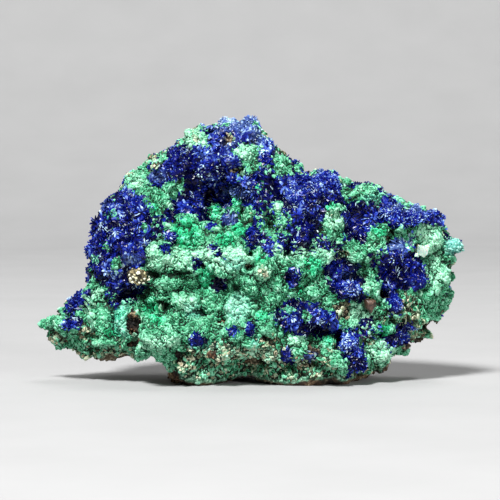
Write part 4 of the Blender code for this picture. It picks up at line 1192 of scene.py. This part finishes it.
def waxy_goethite():
    """Goethite: waxy dark brown with redder, lighter smears along its growth lines."""
    material, tree, place = empty_finish("waxy_goethite", Roughness=0.45, IOR=1.9, Specular_IOR_Level=0.3)
    smear = add(tree, "TexNoise", {"Vector": place}, in_Scale=1 / (0.7 * MM), in_Detail=4.0,
                in_Roughness=0.65, in_Distortion=1.0)
    tint = add(tree, "ValToRGB", {"Fac": smear}, stops=[
        (0.32, "#160c07"), (0.48, "#382116"), (0.6, "#5c4030"), (0.72, "#8c6e5c")])
    return coloured(material, tint, smear, strength=0.4, depth=0.1)


brown_crystal = piece_from("brown_crystal_block", *rooted(
    BROWN_PLACE,
    block(SHIELD, 0.14, (0.0, -0.1, 0.05), 1.0, (0.0, 0.1, 0.5)),
    block(SHIELD, 0.12, (0.3, 0.4, 0.7), 0.6, (0.8, 0.4, 0.5)),
))
finish_piece(brown_crystal, "brown_crystal", waxy_goethite(), "brown_crystal")

# The floor, the lights and the camera.
# A pale paper sweep, one large soft lamp above the left shoulder, a weak one at the right and one
# above and behind, and a long lens at the height from which the front is seen.
VIEW_DISTANCE = 0.55
VIEW_TARGET = Vector((0.0, 0.0, 28.6 * MM))
VIEW_ELEVATION = math.radians(3.0)
# The floor, in metres: half its width, its near and far ends, the rise behind and its curve.
SWEEP_HALF_WIDTH = 6.0
SWEEP_ENDS = (-6.0, 1.0)
SWEEP_HEIGHT = 3.0
SWEEP_RADIUS = 0.45
# The lamps: place and width in metres, and power in watts.
LAMPS = {
    "key": ((-0.36, -0.94, 1.25), 0.36, 49.0),
    "fill": ((0.95, -1.02, 0.40), 0.6, 9.0),
    "top": ((0.24, 0.36, 1.40), 0.6, 7.0),
}


def matt_paper():
    """Matt studio paper, pale grey, with the faint cloudiness of its pulp."""
    material, tree, place = empty_finish("matt_paper", Roughness=0.85, IOR=1.45)
    pulp = add(tree, "TexNoise", {"Vector": place}, in_Scale=1 / (30.0 * MM), in_Detail=4.0)
    tint = add(tree, "ValToRGB", {"Fac": pulp}, stops=[(0.3, "#a4a4a4"), (0.7, "#a8a8a8")])
    return coloured(material, tint)


def sweep():
    """A floor that curves up behind into a plain backdrop."""
    near_end, far_end = SWEEP_ENDS
    turn = [
        (far_end - SWEEP_RADIUS * (1.0 - math.sin(angle)), SWEEP_RADIUS * (1.0 - math.cos(angle)))
        for angle in np.radians(np.arange(0, 91, 5))
    ]
    bm = bmesh.new()
    rows = [
        [bm.verts.new((x, y, z)) for x in (-SWEEP_HALF_WIDTH, SWEEP_HALF_WIDTH)]
        for y, z in [(near_end, 0.0), *turn, (far_end, SWEEP_HEIGHT)]
    ]
    for low, high in zip(rows, rows[1:]):
        bm.faces.new([low[0], low[1], high[1], high[0]]).smooth = True
    mesh = bpy.data.meshes.new("studio_sweep")
    bm.to_mesh(mesh)
    bm.free()
    mesh.materials.append(matt_paper())
    floor = bpy.data.objects.new("studio_sweep", mesh)
    floor.location.z = -0.02 * MM
    bpy.context.collection.objects.link(floor)
    floor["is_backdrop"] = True


sweep()
for name, (place, width, power) in LAMPS.items():
    lamp_data = bpy.data.lights.new(name, "AREA")
    lamp_data.shape = "DISK"
    lamp_data.size = width
    lamp_data.energy = power
    lamp = bpy.data.objects.new(name, lamp_data)
    lamp.location = place
    lamp.rotation_euler = (VIEW_TARGET - Vector(place)).to_track_quat("-Z", "Y").to_euler()
    bpy.context.collection.objects.link(lamp)

scene = bpy.context.scene
scene.world = bpy.data.worlds.new("studio")
scene.world.use_nodes = True
background = scene.world.node_tree.nodes["Background"]
background.inputs["Color"].default_value = linear("#f0f0f0")
background.inputs["Strength"].default_value = 0.09
scene.view_settings.view_transform = "Standard"

camera_data = bpy.data.cameras.new("camera")
camera_data.lens = 180.0
camera_data.sensor_width = 36.0
camera = bpy.data.objects.new("camera", camera_data)
direction = Vector((0.0, -math.cos(VIEW_ELEVATION), math.sin(VIEW_ELEVATION)))
camera.location = VIEW_TARGET + VIEW_DISTANCE * direction
camera.rotation_euler = (-direction).to_track_quat("-Z", "Y").to_euler()
bpy.context.collection.objects.link(camera)
scene.camera = camera

sizes = {"cad": [list(map(float, corner)) for corner in cad_box]}
sizes["visual"] = [list(map(float, corner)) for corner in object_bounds()]
